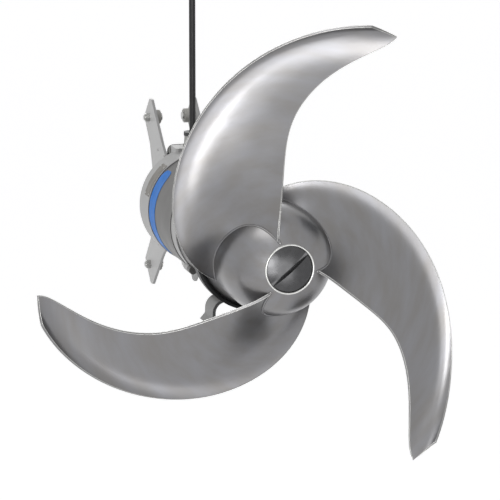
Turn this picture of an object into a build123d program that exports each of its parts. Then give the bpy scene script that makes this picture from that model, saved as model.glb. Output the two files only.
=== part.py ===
from build123d import *
from math import acos, cos, degrees, pi, radians, sin, sqrt
import os

# Submersible mixer: a slow three-blade propeller, a planetary gearbox and a
# wet motor in one line, carried by a bracket that slides on a square guide bar.
# The frame: +Z up, the propeller faces -Y, the origin is the centre of the
# guide bar at the height of the shaft. All sizes are in millimetres.

# Overall layout along the shaft, from the bracket towards the propeller
COVER_BACK = -164.0
COVER_LENGTH = 101.0
MOTOR_LENGTH = 240.0
FLANGE_LENGTH = 51.0
GEARCASE_LENGTH = 242.0
SEAL_FLANGE = 20.0
DEFLECTOR_WEB = 10.0
HUB_GAP = 12.0
HUB_LENGTH = 304.0

# Casings
HOUSING_R = 165.0
HOUSING_WALL = 12.0
COVER_STEP = 3.0
COVER_WALL = 12.0
COVER_EDGE = 3.0
COVER_BOSS_WALL = 12.0
FLANGE_STEP = 2.0
FLANGE_WEB = 18.0
FLANGE_BOSS_WALL = 14.0
GEARCASE_STEP = 5.0
GEARCASE_FLANGE_WIDTH = 16.0
GEARCASE_FLANGE = 14.0
GEARCASE_SLOPE = 16.0
GEARCASE_SHOULDER = 10.0
LUG_ANGLES = (45, 135, 225, 315)
LUG_STEP = 3.0
LUG_RADIUS = 12.0
LUG_LENGTH = 34.0
FRONT_LUG_LENGTH = 26.0
LUG_POCKET_R = 10.5
RING_SECTION = 4.0
RING_DEPTH = 3.0
RING_INSET = 1.0
NECK_R = 118.0
NECK_LENGTH = 142.0
NECK_BEVEL = 8.0
SPIGOT_LENGTH = 12.0
DEFLECTOR_WALL = 9.5
DEFLECTOR_LIP = 8.0
DEFLECTOR_OVERLAP = 2.0
DEFLECTOR_SKIRT = 11.0

# Entry block on top of the rear cover, which carries the cable gland
ENTRY_HALF = 60.0
ENTRY_BEHIND = 36.0
ENTRY_AHEAD = 31.0
ENTRY_HEIGHT = 52.0
ENTRY_RISE = 2.0
ENTRY_CORNER = 8.0

# Curved strips on the left side of the casing
STRIP_THICKNESS = 1.0
BAND_INSET = 5.0
BAND_WIDTH = 62.0
BAND_CORNER = 20.0
BAND_ANGLES = (131.0, 230.0)
DATA_INSET = 48.0
DATA_WIDTH = 46.0
DATA_CORNER = 4.0
DATA_ANGLES = (128.5, 166.0)

# Screws and bolts: shank and head radius, head height, size across the flats
GEARCASE_SCREWS = 8
GEARCASE_SCREW_R = 4.0
GEARCASE_SCREW_HEAD_R = 7.5
GEARCASE_SCREW_HEAD = 10.0
GEARCASE_SOCKET = 7.0
COVER_SCREWS = 6
COVER_SCREW_R = 4.0
COVER_SCREW_HEAD_R = 6.5
COVER_SCREW_HEAD = 8.0
COVER_SCREW_INSET = 13.0
COVER_SOCKET = 6.0
SOCKET_DEPTH = 5.0
FLANGE_BOLT_R = 5.0
FLANGE_BOLT_FLATS = 16.0
FLANGE_BOLT_HEAD = 10.0
FOOT_SCREW_R = 5.0
FOOT_SCREW_FLATS = 17.0
FOOT_SCREW_HEAD = 8.0
MOUNTING_BOLT_R = 5.0
MOUNTING_BOLT_FLATS = 18.0
MOUNTING_BOLT_HEAD = 8.0
SCREW_GRIP = 14.0
COVER_GRIP = 8.0
HOLE_SPARE = 1.0

# Clearances
SEAT = 0.1
RUNNING = 0.06
FACE_GAP = 0.3

# Propeller
PROPELLER_R = 700.0
BLADES = 3
BLADE_PLATE = 6.0
BLADE_ZERO = 34.0
HUB_RIM_STEP = 4.0
HUB_WALL = 7.0
HUB_BOSS_R = 62.0
HUB_BOSS_LENGTH = 146.0
HUB_BORE_R = 32.0
HUB_WEB = 42.0
HUB_BOSS_CORNER = 10.0
NOSE_R = 71.0
CAP_R = 66.0
CAP_RECESS = 16.0
CAP_DOME = 14.0
CAP_SHOULDER = 10.5
CAP_EDGE = 2.0
CAP_SLOT = 11.0
CAP_SLOT_FLOOR = 4.0
CAP_SLOT_ANGLE = 40.0
BOLT_CAVITY_R = 46.0
BOLT_CAVITY = 24.0
BOLT_R = 12.0
BOLT_FLANGE = 6.0
BOLT_FLANGE_R = 42.0
BOLT_HEAD = 8.0
BOLT_FLATS = 36.0
BOLT_LENGTH = 66.0

# Outside of the hub shell behind the nose ring, and the crown of the hollow
# under it: distance in from the rim and distance behind the front of the hub
HUB_SHOULDER = [(69.0, 22.0), (41.0, 50.0), (23.0, 84.0), (14.0, 184.0)]
HUB_CROWN = [(60.0, 50.0), (30.0, 92.0)]

# Blade stations: radius as a share of the propeller radius, trailing and leading
# edge angles, set-back of the middle of the chord as a share of the radius, and
# pitch as a share of the diameter
BLADE_STATIONS = [
    (0.12, 111.5, 241.0, 0.154, 0.526),
    (0.20, 101.0, 215.0, 0.140, 0.549),
    (0.30, 94.2, 187.0, 0.130, 0.557),
    (0.43, 90.0, 157.0, 0.124, 0.547),
    (0.57, 85.7, 131.0, 0.123, 0.524),
    (0.71, 78.4, 110.0, 0.115, 0.510),
    (0.86, 69.0, 89.5, 0.082, 0.489),
    (0.93, 65.1, 80.0, 0.051, 0.400),
    (1.00, 63.0, 69.6, 0.007, -0.162),
]
BLADE_CAMBER = 0.02
BLADE_CURL = 0.36
CURL_START = 0.6
CHORD_POINTS = 9

# Output shaft, its bearings and seals
SHAFT_R = 45.0
SHAFT_END_R = 36.0
SHAFT_RELIEF = 7.0
SHAFT_BEARING_R = 85.0
SHAFT_BEARING_WIDTH = 34.0
SHAFT_RACE = 12.0
SHAFT_ROLLER_R = 7.9
SHAFT_ROLLERS = 12
BEARING_MARGIN = 3.0
FRONT_BEARING_SET = 57.0
REAR_BEARING_SET = 10.0
SEAL_R = 61.0
SEAL_FACE_R = 58.0
SEAL_PLAY = 2.0
SEAL_SET = 2.0
SEAL_WIDTH = 11.0
SEAL_PITCH = 26.0
KEY_WIDTH = 18.0
KEY_HEIGHT = 11.0
KEY_LENGTH = 80.0
KEY_SET = 10.0

# Planetary gears
MODULE = 3.0
SUN_TEETH = 15
PLANET_TEETH = 30
RING_TEETH = 75
PLANETS = 3
TOOTH_ROOT = 1.25
RING_TOOTH_TIP = 0.8
PRESSURE_ANGLE = 20.0
GEAR_WIDTH = 42.0
GEAR_SET = 13.0
GEAR_BACKLASH = 0.5
RING_GEAR_R = 136.0
RING_GEAR_RELIEF = 8.0
CARRIER_R = 110.0
CARRIER_WIDTH = 32.0
CARRIER_SET = 92.0
PIN_R = 14.0
PIN_HEAD_R = 20.0
PIN_HEAD = 6.0
PIN_PLAY = 2.0

# Motor
ROTOR_SHAFT_R = 30.0
ROTOR_NECK_R = 18.0
ROTOR_NECK_PLAY = 5.0
ROTOR_NECK_STEP = 1.0
SUN_BORE_R = 12.0
SUN_SHAFT_END = 3.0
ROTOR_BEARING_BORE = 25.0
ROTOR_BEARING_R = 45.0
ROTOR_BEARING_WIDTH = 23.0
ROTOR_BEARING_SET = 12.0
COVER_BEARING_SET = 4.0
ROTOR_RACE = 6.0
ROTOR_ROLLERS = 10
CORE_SET = 35.0
CORE_LENGTH = 150.0
ROTOR_CORE_R = 88.0
MAGNETS = 8
MAGNET_THICKNESS = 7.0
MAGNET_SPACE = 12.0
AIR_GAP = 2.0
STATOR_SLOTS = 24
SLOT_DEPTH = 26.0
SLOT_WIDTH = 10.0
SLOT_MOUTH = 1.0
WINDING_LENGTH = 22.0
WINDING_STEP = 6.0
WINDING_CLEARANCE = 16.0
WINDING_ROUND = 8.0

# Terminal block inside the rear cover
TERMINAL_DROP = 48.0
TERMINAL_SIZE = (90.0, 34.0)
TERMINAL_CORNER = 3.0
TERMINAL_DEPTH = 30.0
TERMINAL_WELL = 22.0
TERMINAL_PITCH = 18.0
TERMINALS = 5
TERMINAL_R = 5.0

# Guide bracket
GUIDE_BAR = 100.0
BAR_PLAY = 3.0
SIDE_PLAY = 14.0
PLATE = 8.0
PLATE_CORNER = 7.0
BRACKET_Z = -10.0
MOUNTING_PLATE = 10.0
MOUNTING_WIDTH = 200.0
MOUNTING_INSET = 53.0
MOUNTING_CORNER = 12.0
MOUNTING_BOLT_INSET = (14.0, 25.0)
ROLLER_Z = 232.0
ROLLER_R = 22.0
ROLLER_WIDTH = 26.0
ROLLER_EDGE = 2.0
ROLLER_BOLT_R = 8.0
ROLLER_BOLT_END = 17.0
ROLLER_HEAD_R = 12.0
ROLLER_HEAD = 5.0
ROLLER_NUT = 13.0
ROLLER_NUT_FLATS = 24.0
PAD_HOLE_R = 4.0
PAD_HOLE_Y = -28.0
PAD_HOLE_SPACING = 296.0
BLOCK_DEPTH = 27.0
BLOCK_HEIGHT = 28.0
BLOCK_TOP = 137.4

# Upper half of a side plate's outline: how far its root ends inside the mounting
# plate, then distance behind the roller axis and height over the bracket's middle
ROOT_INSET = 3.0
PLATE_CORNERS = [
    (-149.0, 172.0),
    (-27.0, 291.0),
    (-3.0, 291.0),
    (60.0, 226.0),
    (-7.0, 150.0),
    (-33.0, 80.0),
]

# Lifting bail
BAIL_R = 7.0
BAIL_HALF = 51.0
BAIL_REACH = 39.0
BAIL_TILT = 50.0
BAIL_CORNER = 16.0
BAIL_PIVOT_Y = -100.0
BAIL_PIVOT_Z = 125.0
BAIL_EYE_R = 12.0
BAIL_EYE_WIDTH = 12.0
BAIL_PIN_R = 6.0
BAIL_PIN_RIM = 3.0
BAIL_PIN_END = 2.0

# Cable and its gland
CABLE_R = 9.75
CABLE_TOP = 640.0
GLAND_NIPPLE_R = 20.0
GLAND_NIPPLE = 22.0
GLAND_FLATS = 52.0
GLAND_COLLAR = 9.0
GLAND_TOP_R = 25.0
GLAND_HEIGHT = 34.0
NUT_R = 27.0
NUT_HEIGHT = 11.0
NUT_EDGE = 2.0
CLAMP_R = 17.0
CLAMP_LENGTH = 60.0
CLAMP_EDGE = 5.0
EYE_R = 20.0
EYE_SINK = 4.0
EYE_HOLE_R = 9.0
EYE_PLATE = 12.0

# Foot: pad under the gear housing, and the middle line of the bent strap as
# distance from the shaft and depth under the pad
PAD_DROP = 6.0
PAD_HALF = 68.0
PAD_HEIGHT = 40.0
PAD_MARGIN = 6.0
FOOT_SET = 138.0
FOOT_LENGTH = 80.0
FOOT_PLATE = 9.0
FOOT_CORNER_X = 104.0
FOOT_KNEE = (106.0, 56.0)
FOOT_TOE = (122.0, 74.0)
FOOT_BEND = 35.0
KNEE_BEND = 12.0
LEG_SHARE = 0.75
FOOT_SCREW_PITCH = (90.0, 46.0)

# Radii of the casings and the bracket round the guide bar follow from these
cover_r = HOUSING_R + COVER_STEP
flange_r = HOUSING_R - FLANGE_STEP
lug_r = flange_r + LUG_STEP
gearcase_r = HOUSING_R - GEARCASE_STEP
gearcase_flange_r = gearcase_r + GEARCASE_FLANGE_WIDTH
gearcase_bore = gearcase_r - HOUSING_WALL
motor_bore = HOUSING_R - HOUSING_WALL
cover_inner = cover_r - COVER_WALL
seal_ring_bore = motor_bore + RING_INSET
deflector_r = gearcase_flange_r + DEFLECTOR_WALL
hub_rim_r = gearcase_flange_r - HUB_RIM_STEP
gland_seat = cover_r + ENTRY_RISE
nut_base = gland_seat + GLAND_HEIGHT
foot_z = -(gearcase_r + PAD_DROP)
half_gap = GUIDE_BAR / 2 + SIDE_PLAY
mounting_half = (MOUNTING_WIDTH / 2, cover_r - MOUNTING_INSET)
plate_root = mounting_half[1] - ROOT_INSET
roller_y = GUIDE_BAR / 2 + BAR_PLAY + ROLLER_R
block_back = -GUIDE_BAR / 2 - BAR_PLAY

# Stations along the shaft
cover_front = COVER_BACK - COVER_LENGTH
motor_front = cover_front - MOTOR_LENGTH
flange_front = motor_front - FLANGE_LENGTH
gearcase_front = flange_front - GEARCASE_LENGTH
seal_flange_front = gearcase_front - SEAL_FLANGE
deflector_front = seal_flange_front - DEFLECTOR_WEB
hub_rear = deflector_front - HUB_GAP
hub_front = hub_rear - HUB_LENGTH
neck_front = seal_flange_front - NECK_LENGTH
blade_zero = hub_front + BLADE_ZERO
boss_rear = hub_front + HUB_BOSS_LENGTH
bolt_seat = hub_front + CAP_RECESS + BOLT_CAVITY
shaft_front = bolt_seat + BOLT_FLANGE
front_bearing = neck_front + FRONT_BEARING_SET
rear_bearing = seal_flange_front + REAR_BEARING_SET
carrier_rear = seal_flange_front + CARRIER_SET
gear_front = carrier_rear + GEAR_SET
gear_rear = gear_front + GEAR_WIDTH
front_rotor_bearing = flange_front + ROTOR_BEARING_SET
rear_rotor_bearing = cover_front + COVER_BEARING_SET
foot_rear = seal_flange_front + FOOT_SET
plate_front = COVER_BACK + MOUNTING_PLATE


def section(points):
    """Closed outline of (radius, position) points for a turned piece."""
    with BuildSketch(Plane.XY) as outline:
        with BuildLine():
            Polyline(*points, close=True)
        make_face()
    return outline.sketch


def turn(points, mode=Mode.ADD):
    """Turn an outline about the shaft axis."""
    revolve(section(points), axis=Axis.Y, mode=mode)


def turn_ring(front, rear, outer, inner=0.0, mode=Mode.ADD):
    """Turn a plain ring or disc about the shaft axis."""
    turn([(inner, front), (outer, front), (outer, rear), (inner, rear)], mode)


def across(position):
    """Plane across the shaft, seen from the front, at a position along it."""
    return Plane.XZ.offset(-position)


def bearing_rollers(front, width, radius, pitch_radius, count):
    """Rollers of one bearing, parallel to the shaft."""
    with BuildSketch(across(front + width - BEARING_MARGIN)) as rollers:
        with PolarLocations(pitch_radius, count):
            Circle(radius)
    extrude(rollers.sketch, amount=width - 2 * BEARING_MARGIN)


def hexagon(across_flats):
    """Outline of a bolt head, nut or socket, given across its flats."""
    RegularPolygon(across_flats / 2, 6, major_radius=False)


def bars(front, rear, places, radius, mode=Mode.ADD):
    """Round bars along the shaft axis at given places, or the holes for them."""
    with BuildSketch(across(rear)) as ends:
        with Locations(*places):
            Circle(radius)
    extrude(ends.sketch, amount=rear - front, mode=mode)


def hexagon_bars(front, rear, places, across_flats, mode=Mode.ADD):
    """Six-sided bars along the shaft axis at given places, or sockets."""
    with BuildSketch(across(rear)) as ends:
        with Locations(*places):
            hexagon(across_flats)
    extrude(ends.sketch, amount=rear - front, mode=mode)


def ring_of_places(radius, angles):
    """Places across the shaft at one radius and several angles."""
    return [(radius * cos(radians(a)), radius * sin(radians(a))) for a in angles]


# Places of the screws round the shaft axis
lug_places = ring_of_places(lug_r, LUG_ANGLES)
screw_places = ring_of_places(
    (gearcase_r + gearcase_flange_r) / 2,
    [(index + 0.5) * 360 / GEARCASE_SCREWS for index in range(GEARCASE_SCREWS)],
)
cover_screw_places = ring_of_places(
    cover_r - COVER_SCREW_INSET,
    [index * 360 / COVER_SCREWS for index in range(COVER_SCREWS)],
)
mounting_bolt_places = [
    (
        side * (mounting_half[0] - MOUNTING_BOLT_INSET[0]),
        BRACKET_Z + level * (mounting_half[1] - MOUNTING_BOLT_INSET[1]),
    )
    for side in (-1, 1)
    for level in (-1, 1)
]


# Shape of the hub shell, outside, from the nose ring to the rear rim
shoulder_points = [(hub_rim_r - inset, hub_front + back) for inset, back in HUB_SHOULDER]
with BuildLine(Plane.XY) as hub_curve:
    Spline((NOSE_R, hub_front), *shoulder_points, (hub_rim_r, hub_rear))

# Solid envelope of the hub
with BuildPart() as hub_envelope:
    with BuildSketch(Plane.XY):
        with BuildLine():
            add(hub_curve.line)
            Line((hub_rim_r, hub_rear), (0, hub_rear))
            Line((0, hub_rear), (0, hub_front))
            Line((0, hub_front), (NOSE_R, hub_front))
        make_face()
    revolve(axis=Axis.Y)

# Space the blades stay out of: the hub, and the ring behind it
with BuildPart() as blade_clear:
    add(hub_envelope.part)
    turn_ring(hub_rear, seal_flange_front + DEFLECTOR_SKIRT, deflector_r + HUB_GAP)

web_rear = hub_front + HUB_WEB
crown_points = [(hub_rim_r - inset, hub_front + back) for inset, back in HUB_CROWN]
with BuildPart() as propeller_hub:
    add(hub_envelope.part)
    with BuildSketch(Plane.XY):
        with BuildLine():
            Spline(
                (HUB_BOSS_R + HUB_BOSS_CORNER, web_rear),
                *crown_points,
                (shoulder_points[-1][0] - HUB_WALL, shoulder_points[-1][1]),
                (hub_rim_r - HUB_WALL, hub_rear),
            )
            Line((hub_rim_r - HUB_WALL, hub_rear), (0, hub_rear))
            Line((0, hub_rear), (0, boss_rear))
            Line((0, boss_rear), (HUB_BOSS_R, boss_rear))
            Line((HUB_BOSS_R, boss_rear), (HUB_BOSS_R, web_rear + HUB_BOSS_CORNER))
            Line(
                (HUB_BOSS_R, web_rear + HUB_BOSS_CORNER),
                (HUB_BOSS_R + HUB_BOSS_CORNER, web_rear),
            )
        make_face()
    revolve(axis=Axis.Y, mode=Mode.SUBTRACT)
    turn_ring(hub_front, hub_front + CAP_RECESS, CAP_R + FACE_GAP, mode=Mode.SUBTRACT)
    turn_ring(hub_front, bolt_seat, BOLT_CAVITY_R, mode=Mode.SUBTRACT)
    turn_ring(hub_front, boss_rear, HUB_BORE_R, mode=Mode.SUBTRACT)
    with BuildSketch(across(boss_rear)):
        with Locations((0, HUB_BORE_R)):
            Rectangle(KEY_WIDTH + 2 * SEAT, KEY_HEIGHT)
    extrude(amount=boss_rear - bolt_seat, mode=Mode.SUBTRACT)
propeller_hub.part.label = "propeller_hub"


def blade_point(station, share, first_angle):
    """Point of the blade sheet: a screw surface that curls to its leading edge."""
    radius_share, trailing, leading, set_back, pitch = station
    radius = radius_share * PROPELLER_R
    from_middle = (share - 0.5) * (leading - trailing)
    chord = radius * radians(leading - trailing)
    camber = BLADE_CAMBER * 4 * share * (1 - share)
    curl = share * (1 - CURL_START) ** 2 - max(0, share - CURL_START) ** 2
    bulge = (camber + BLADE_CURL * curl) * chord
    along = set_back * PROPELLER_R + pitch * 2 * PROPELLER_R * from_middle / 360 + bulge
    turned = radians((leading + trailing) / 2 + from_middle + first_angle)
    return (radius * cos(turned), blade_zero + along, radius * sin(turned))


blades = []
for index in range(BLADES):
    sheet = Face.make_surface_from_array_of_points(
        [
            [blade_point(station, column / (CHORD_POINTS - 1), index * 360 / BLADES)
             for column in range(CHORD_POINTS)]
            for station in BLADE_STATIONS
        ]
    )
    with BuildPart() as blade:
        thicken(sheet, amount=BLADE_PLATE / 2, both=True)
        add(blade_clear.part, mode=Mode.SUBTRACT)
    blade.part.label = f"blade_{index + 1}"
    blades.append(blade.part)

# Domed nose cap with one slot across it
cap_rim = hub_front + CAP_EDGE
cap_rear = hub_front + CAP_RECESS
with BuildPart() as nose_cap:
    with BuildSketch(Plane.XY):
        with BuildLine():
            ThreePointArc(
                (0, cap_rim - CAP_DOME),
                (CAP_R / 2, cap_rim - CAP_SHOULDER),
                (CAP_R, cap_rim),
            )
            Line((CAP_R, cap_rim), (CAP_R, cap_rear))
            Line((CAP_R, cap_rear), (0, cap_rear))
            Line((0, cap_rear), (0, cap_rim - CAP_DOME))
        make_face()
    revolve(axis=Axis.Y)
    with BuildSketch(across(hub_front + CAP_SLOT_FLOOR)):
        Rectangle(2 * CAP_R, CAP_SLOT, rotation=CAP_SLOT_ANGLE)
    extrude(amount=CAP_SLOT_FLOOR + CAP_DOME, mode=Mode.SUBTRACT)
nose_cap.part.label = "nose_cap"

# Hub bolt with its flange head, seated on the floor of the hub's bolt cavity
with BuildPart() as hub_bolt:
    turn_ring(bolt_seat - BOLT_FLANGE, bolt_seat, BOLT_FLANGE_R)
    turn_ring(bolt_seat - BOLT_FLANGE, bolt_seat + BOLT_LENGTH, BOLT_R)
    hexagon_bars(bolt_seat - BOLT_FLANGE - BOLT_HEAD, bolt_seat, [(0, 0)], BOLT_FLATS)
hub_bolt.part.label = "hub_bolt"

shaft_shoulder = carrier_rear - CARRIER_WIDTH - SHAFT_RELIEF
with BuildPart() as output_shaft:
    turn([
        (0, shaft_front),
        (HUB_BORE_R - SEAT, shaft_front),
        (HUB_BORE_R - SEAT, boss_rear + SEAT),
        (SHAFT_R, boss_rear + SEAT),
        (SHAFT_R, shaft_shoulder),
        (SHAFT_END_R, shaft_shoulder),
        (SHAFT_END_R, carrier_rear),
        (0, carrier_rear),
    ])
    turn_ring(shaft_front, shaft_front + BOLT_LENGTH, BOLT_R + SEAT, mode=Mode.SUBTRACT)
    with BuildSketch(across(shaft_front + KEY_SET + KEY_LENGTH)):
        with Locations((0, HUB_BORE_R)):
            Rectangle(KEY_WIDTH + 2 * SEAT, KEY_HEIGHT + 2 * SEAT)
    extrude(amount=KEY_LENGTH, mode=Mode.SUBTRACT)
output_shaft.part.label = "output_shaft"

with BuildPart() as hub_key:
    with BuildSketch(across(shaft_front + KEY_SET + KEY_LENGTH - SEAT)):
        with Locations((0, HUB_BORE_R - SEAT)):
            Rectangle(KEY_WIDTH, KEY_HEIGHT)
    extrude(amount=KEY_LENGTH - 2 * SEAT)
hub_key.part.label = "hub_key"

# Shaft bearings: one at each end of the spacer, in the seal housing
with BuildPart() as shaft_bearing_inner_rings:
    for start in (front_bearing, rear_bearing):
        turn_ring(start, start + SHAFT_BEARING_WIDTH, SHAFT_R + SHAFT_RACE, SHAFT_R + SEAT)
shaft_bearing_inner_rings.part.label = "shaft_bearing_inner_rings"

with BuildPart() as shaft_bearing_outer_rings:
    for start in (front_bearing, rear_bearing):
        turn_ring(
            start,
            start + SHAFT_BEARING_WIDTH,
            SHAFT_BEARING_R - SEAT,
            SHAFT_BEARING_R - SHAFT_RACE,
        )
shaft_bearing_outer_rings.part.label = "shaft_bearing_outer_rings"

with BuildPart() as shaft_bearing_rollers:
    for start in (front_bearing, rear_bearing):
        bearing_rollers(
            start,
            SHAFT_BEARING_WIDTH,
            SHAFT_ROLLER_R,
            (SHAFT_R + SHAFT_BEARING_R) / 2,
            SHAFT_ROLLERS,
        )
shaft_bearing_rollers.part.label = "shaft_bearing_rollers"

with BuildPart() as bearing_spacer:
    turn_ring(
        front_bearing + SHAFT_BEARING_WIDTH + SEAT,
        rear_bearing - SEAT,
        SHAFT_BEARING_R - SEAT,
        SHAFT_BEARING_R - SHAFT_RACE,
    )
bearing_spacer.part.label = "bearing_spacer"

# Two face seals behind each other on the shaft
seal_starts = [neck_front + SEAL_SET, neck_front + SEAL_SET + SEAL_PITCH]
with BuildPart() as seal_rotating_faces:
    for start in seal_starts:
        turn_ring(start, start + SEAL_WIDTH, SEAL_FACE_R, SHAFT_R + SEAT)
seal_rotating_faces.part.label = "seal_rotating_faces"

with BuildPart() as seal_fixed_faces:
    for start in seal_starts:
        fixed_start = start + SEAL_WIDTH + FACE_GAP
        turn_ring(fixed_start, fixed_start + SEAL_WIDTH, SEAL_R - SEAT, SHAFT_R + SEAL_PLAY)
seal_fixed_faces.part.label = "seal_fixed_faces"

spigot_rear = rear_bearing + SHAFT_BEARING_WIDTH
with BuildPart() as seal_housing:
    turn([
        (SEAL_R, neck_front),
        (NECK_R - NECK_BEVEL, neck_front),
        (NECK_R, neck_front + NECK_BEVEL),
        (NECK_R, seal_flange_front),
        (gearcase_flange_r, seal_flange_front),
        (gearcase_flange_r, gearcase_front),
        (gearcase_bore - SEAT, gearcase_front),
        (gearcase_bore - SEAT, gearcase_front + SPIGOT_LENGTH),
        (NECK_R, spigot_rear),
        (SHAFT_BEARING_R, spigot_rear),
        (SHAFT_BEARING_R, front_bearing - SEAT),
        (SEAL_R, front_bearing - SEAT),
    ])
    bars(
        gearcase_front - SCREW_GRIP - HOLE_SPARE,
        gearcase_front,
        screw_places,
        GEARCASE_SCREW_R + SEAT,
        Mode.SUBTRACT,
    )
seal_housing.part.label = "seal_housing"

# Ring with a lip that reaches round the rim of the hub and keeps rags out
lip_front = hub_rear - DEFLECTOR_OVERLAP
with BuildPart() as deflector_ring:
    turn([
        (NECK_R + SEAT, deflector_front),
        (deflector_r - DEFLECTOR_LIP, deflector_front),
        (deflector_r - DEFLECTOR_LIP, lip_front),
        (deflector_r, lip_front),
        (deflector_r, seal_flange_front + DEFLECTOR_SKIRT),
        (gearcase_flange_r + SEAT, seal_flange_front + DEFLECTOR_SKIRT),
        (gearcase_flange_r + SEAT, seal_flange_front),
        (NECK_R + SEAT, seal_flange_front),
    ])
deflector_ring.part.label = "deflector_ring"

# Planetary gears, all cut with the same tooth form
sun_pitch_r = MODULE * SUN_TEETH / 2
planet_pitch_r = MODULE * PLANET_TEETH / 2
ring_pitch_r = MODULE * RING_TEETH / 2
planet_orbit = sun_pitch_r + planet_pitch_r
tooth_root = TOOTH_ROOT * MODULE


def involute(radius, base):
    """Angle in radians that an involute has turned at a radius."""
    return sqrt((radius / base) ** 2 - 1) - acos(base / radius)


def tooth_outline(teeth, tip, root, thinning, first_tooth):
    """Outline of a toothed wheel as straight facets along its involute flanks."""
    pitch_r = MODULE * teeth / 2
    base = pitch_r * cos(radians(PRESSURE_ANGLE))
    half_at_pitch = pi / (2 * teeth) - thinning / (2 * pitch_r)
    low = max(root, base)
    flank = [root] if root < base else []
    flank += [low, (low + pitch_r) / 2, pitch_r, tip]
    points = []
    for tooth in range(teeth):
        centre = radians(first_tooth) + tooth * 2 * pi / teeth
        for side, radii in ((-1, flank), (1, flank[::-1])):
            for radius in radii:
                turned = involute(pitch_r, base) - involute(max(radius, base), base)
                angle = centre + side * (half_at_pitch + turned)
                points.append((radius * cos(angle), radius * sin(angle)))
    return points


def wheel(teeth, tip, root, thinning, first_tooth, place=(0, 0), mode=Mode.ADD):
    """Toothed disc of the gear width, or the same cut out of a blank."""
    with BuildSketch(across(gear_rear)) as teeth_sketch:
        with Locations(place):
            with BuildLine():
                Polyline(*tooth_outline(teeth, tip, root, thinning, first_tooth), close=True)
            make_face()
    extrude(teeth_sketch.sketch, amount=GEAR_WIDTH, mode=mode)


planet_angles = [90 + index * 360 / PLANETS for index in range(PLANETS)]
planet_places = ring_of_places(planet_orbit, planet_angles)

with BuildPart() as sun_gear:
    wheel(SUN_TEETH, sun_pitch_r + MODULE, sun_pitch_r - tooth_root, GEAR_BACKLASH / 2, 90)
    turn_ring(gear_front, gear_rear, SUN_BORE_R + SEAT, mode=Mode.SUBTRACT)
sun_gear.part.label = "sun_gear"

planet_gears = []
for index, angle in enumerate(planet_angles):
    half_pitch = 180 / PLANET_TEETH
    place = Vector(planet_places[index][0], 0, planet_places[index][1])
    with BuildPart() as planet_gear:
        wheel(
            PLANET_TEETH,
            planet_pitch_r + MODULE,
            planet_pitch_r - tooth_root,
            GEAR_BACKLASH / 2,
            angle + half_pitch,
        )
        turn_ring(gear_front, gear_rear, PIN_R + RUNNING, mode=Mode.SUBTRACT)
    planet_gears.append(planet_gear.part.moved(Location(place)))
    planet_gears[-1].label = f"planet_gear_{index + 1}"

with BuildPart() as ring_gear:
    turn_ring(gear_front, gear_rear, RING_GEAR_R)
    wheel(
        RING_TEETH,
        ring_pitch_r + tooth_root,
        ring_pitch_r - RING_TOOTH_TIP * MODULE,
        -GEAR_BACKLASH / 2,
        90 + 180 / RING_TEETH,
        mode=Mode.SUBTRACT,
    )
ring_gear.part.label = "ring_gear"

with BuildPart() as planet_carrier:
    turn_ring(carrier_rear - CARRIER_WIDTH, carrier_rear, CARRIER_R, SHAFT_END_R + SEAT)
    bars(carrier_rear - CARRIER_WIDTH, carrier_rear, planet_places, PIN_R + SEAT, Mode.SUBTRACT)
planet_carrier.part.label = "planet_carrier"

pin_head_front = gear_rear + PIN_PLAY
with BuildPart() as planet_pins:
    bars(carrier_rear - CARRIER_WIDTH, pin_head_front, planet_places, PIN_R)
    bars(pin_head_front, pin_head_front + PIN_HEAD, planet_places, PIN_HEAD_R)
planet_pins.part.label = "planet_pins"

screw_head_front = gearcase_front + GEARCASE_FLANGE
slope_front = gear_front - GEARCASE_SHOULDER - GEARCASE_SLOPE
relief_rear = gear_rear + RING_GEAR_RELIEF
foot_screw_places = [
    (side * FOOT_SCREW_PITCH[0] / 2, foot_rear - FOOT_LENGTH / 2 + end * FOOT_SCREW_PITCH[1] / 2)
    for side in (-1, 1)
    for end in (-1, 1)
]
with BuildPart() as gear_housing:
    turn([
        (gearcase_bore, gearcase_front),
        (gearcase_flange_r, gearcase_front),
        (gearcase_flange_r, screw_head_front),
        (gearcase_r, screw_head_front),
        (gearcase_r, flange_front),
        (gearcase_bore, flange_front),
        (gearcase_bore, relief_rear + HOUSING_WALL),
        (RING_GEAR_R + SEAT, relief_rear),
        (RING_GEAR_R + SEAT, gear_front),
        (CARRIER_R + RING_GEAR_RELIEF, gear_front - SEAT),
        (CARRIER_R + RING_GEAR_RELIEF, gear_front - GEARCASE_SHOULDER),
        (gearcase_bore, slope_front),
    ])
    bars(flange_front - FRONT_LUG_LENGTH, flange_front, lug_places, LUG_RADIUS)
    with BuildSketch(across(foot_rear + PAD_MARGIN)):
        with Locations((0, foot_z + PAD_HEIGHT / 2)):
            Rectangle(2 * PAD_HALF, PAD_HEIGHT)
    extrude(amount=FOOT_LENGTH + 2 * PAD_MARGIN)
    turn_ring(gearcase_front, slope_front, gearcase_bore, mode=Mode.SUBTRACT)
    turn_ring(gear_front, relief_rear, RING_GEAR_R + SEAT, mode=Mode.SUBTRACT)
    turn_ring(relief_rear + HOUSING_WALL, flange_front, gearcase_bore, mode=Mode.SUBTRACT)
    bars(gearcase_front, screw_head_front, screw_places, GEARCASE_SCREW_R + SEAT, Mode.SUBTRACT)
    bars(
        flange_front - SCREW_GRIP - HOLE_SPARE,
        flange_front,
        lug_places,
        FLANGE_BOLT_R + SEAT,
        Mode.SUBTRACT,
    )
    with BuildSketch(Plane.XY.offset(foot_z)):
        with Locations(*foot_screw_places):
            Circle(FOOT_SCREW_R + SEAT)
    extrude(amount=SCREW_GRIP + HOLE_SPARE, mode=Mode.SUBTRACT)
gear_housing.part.label = "gear_housing"

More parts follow.
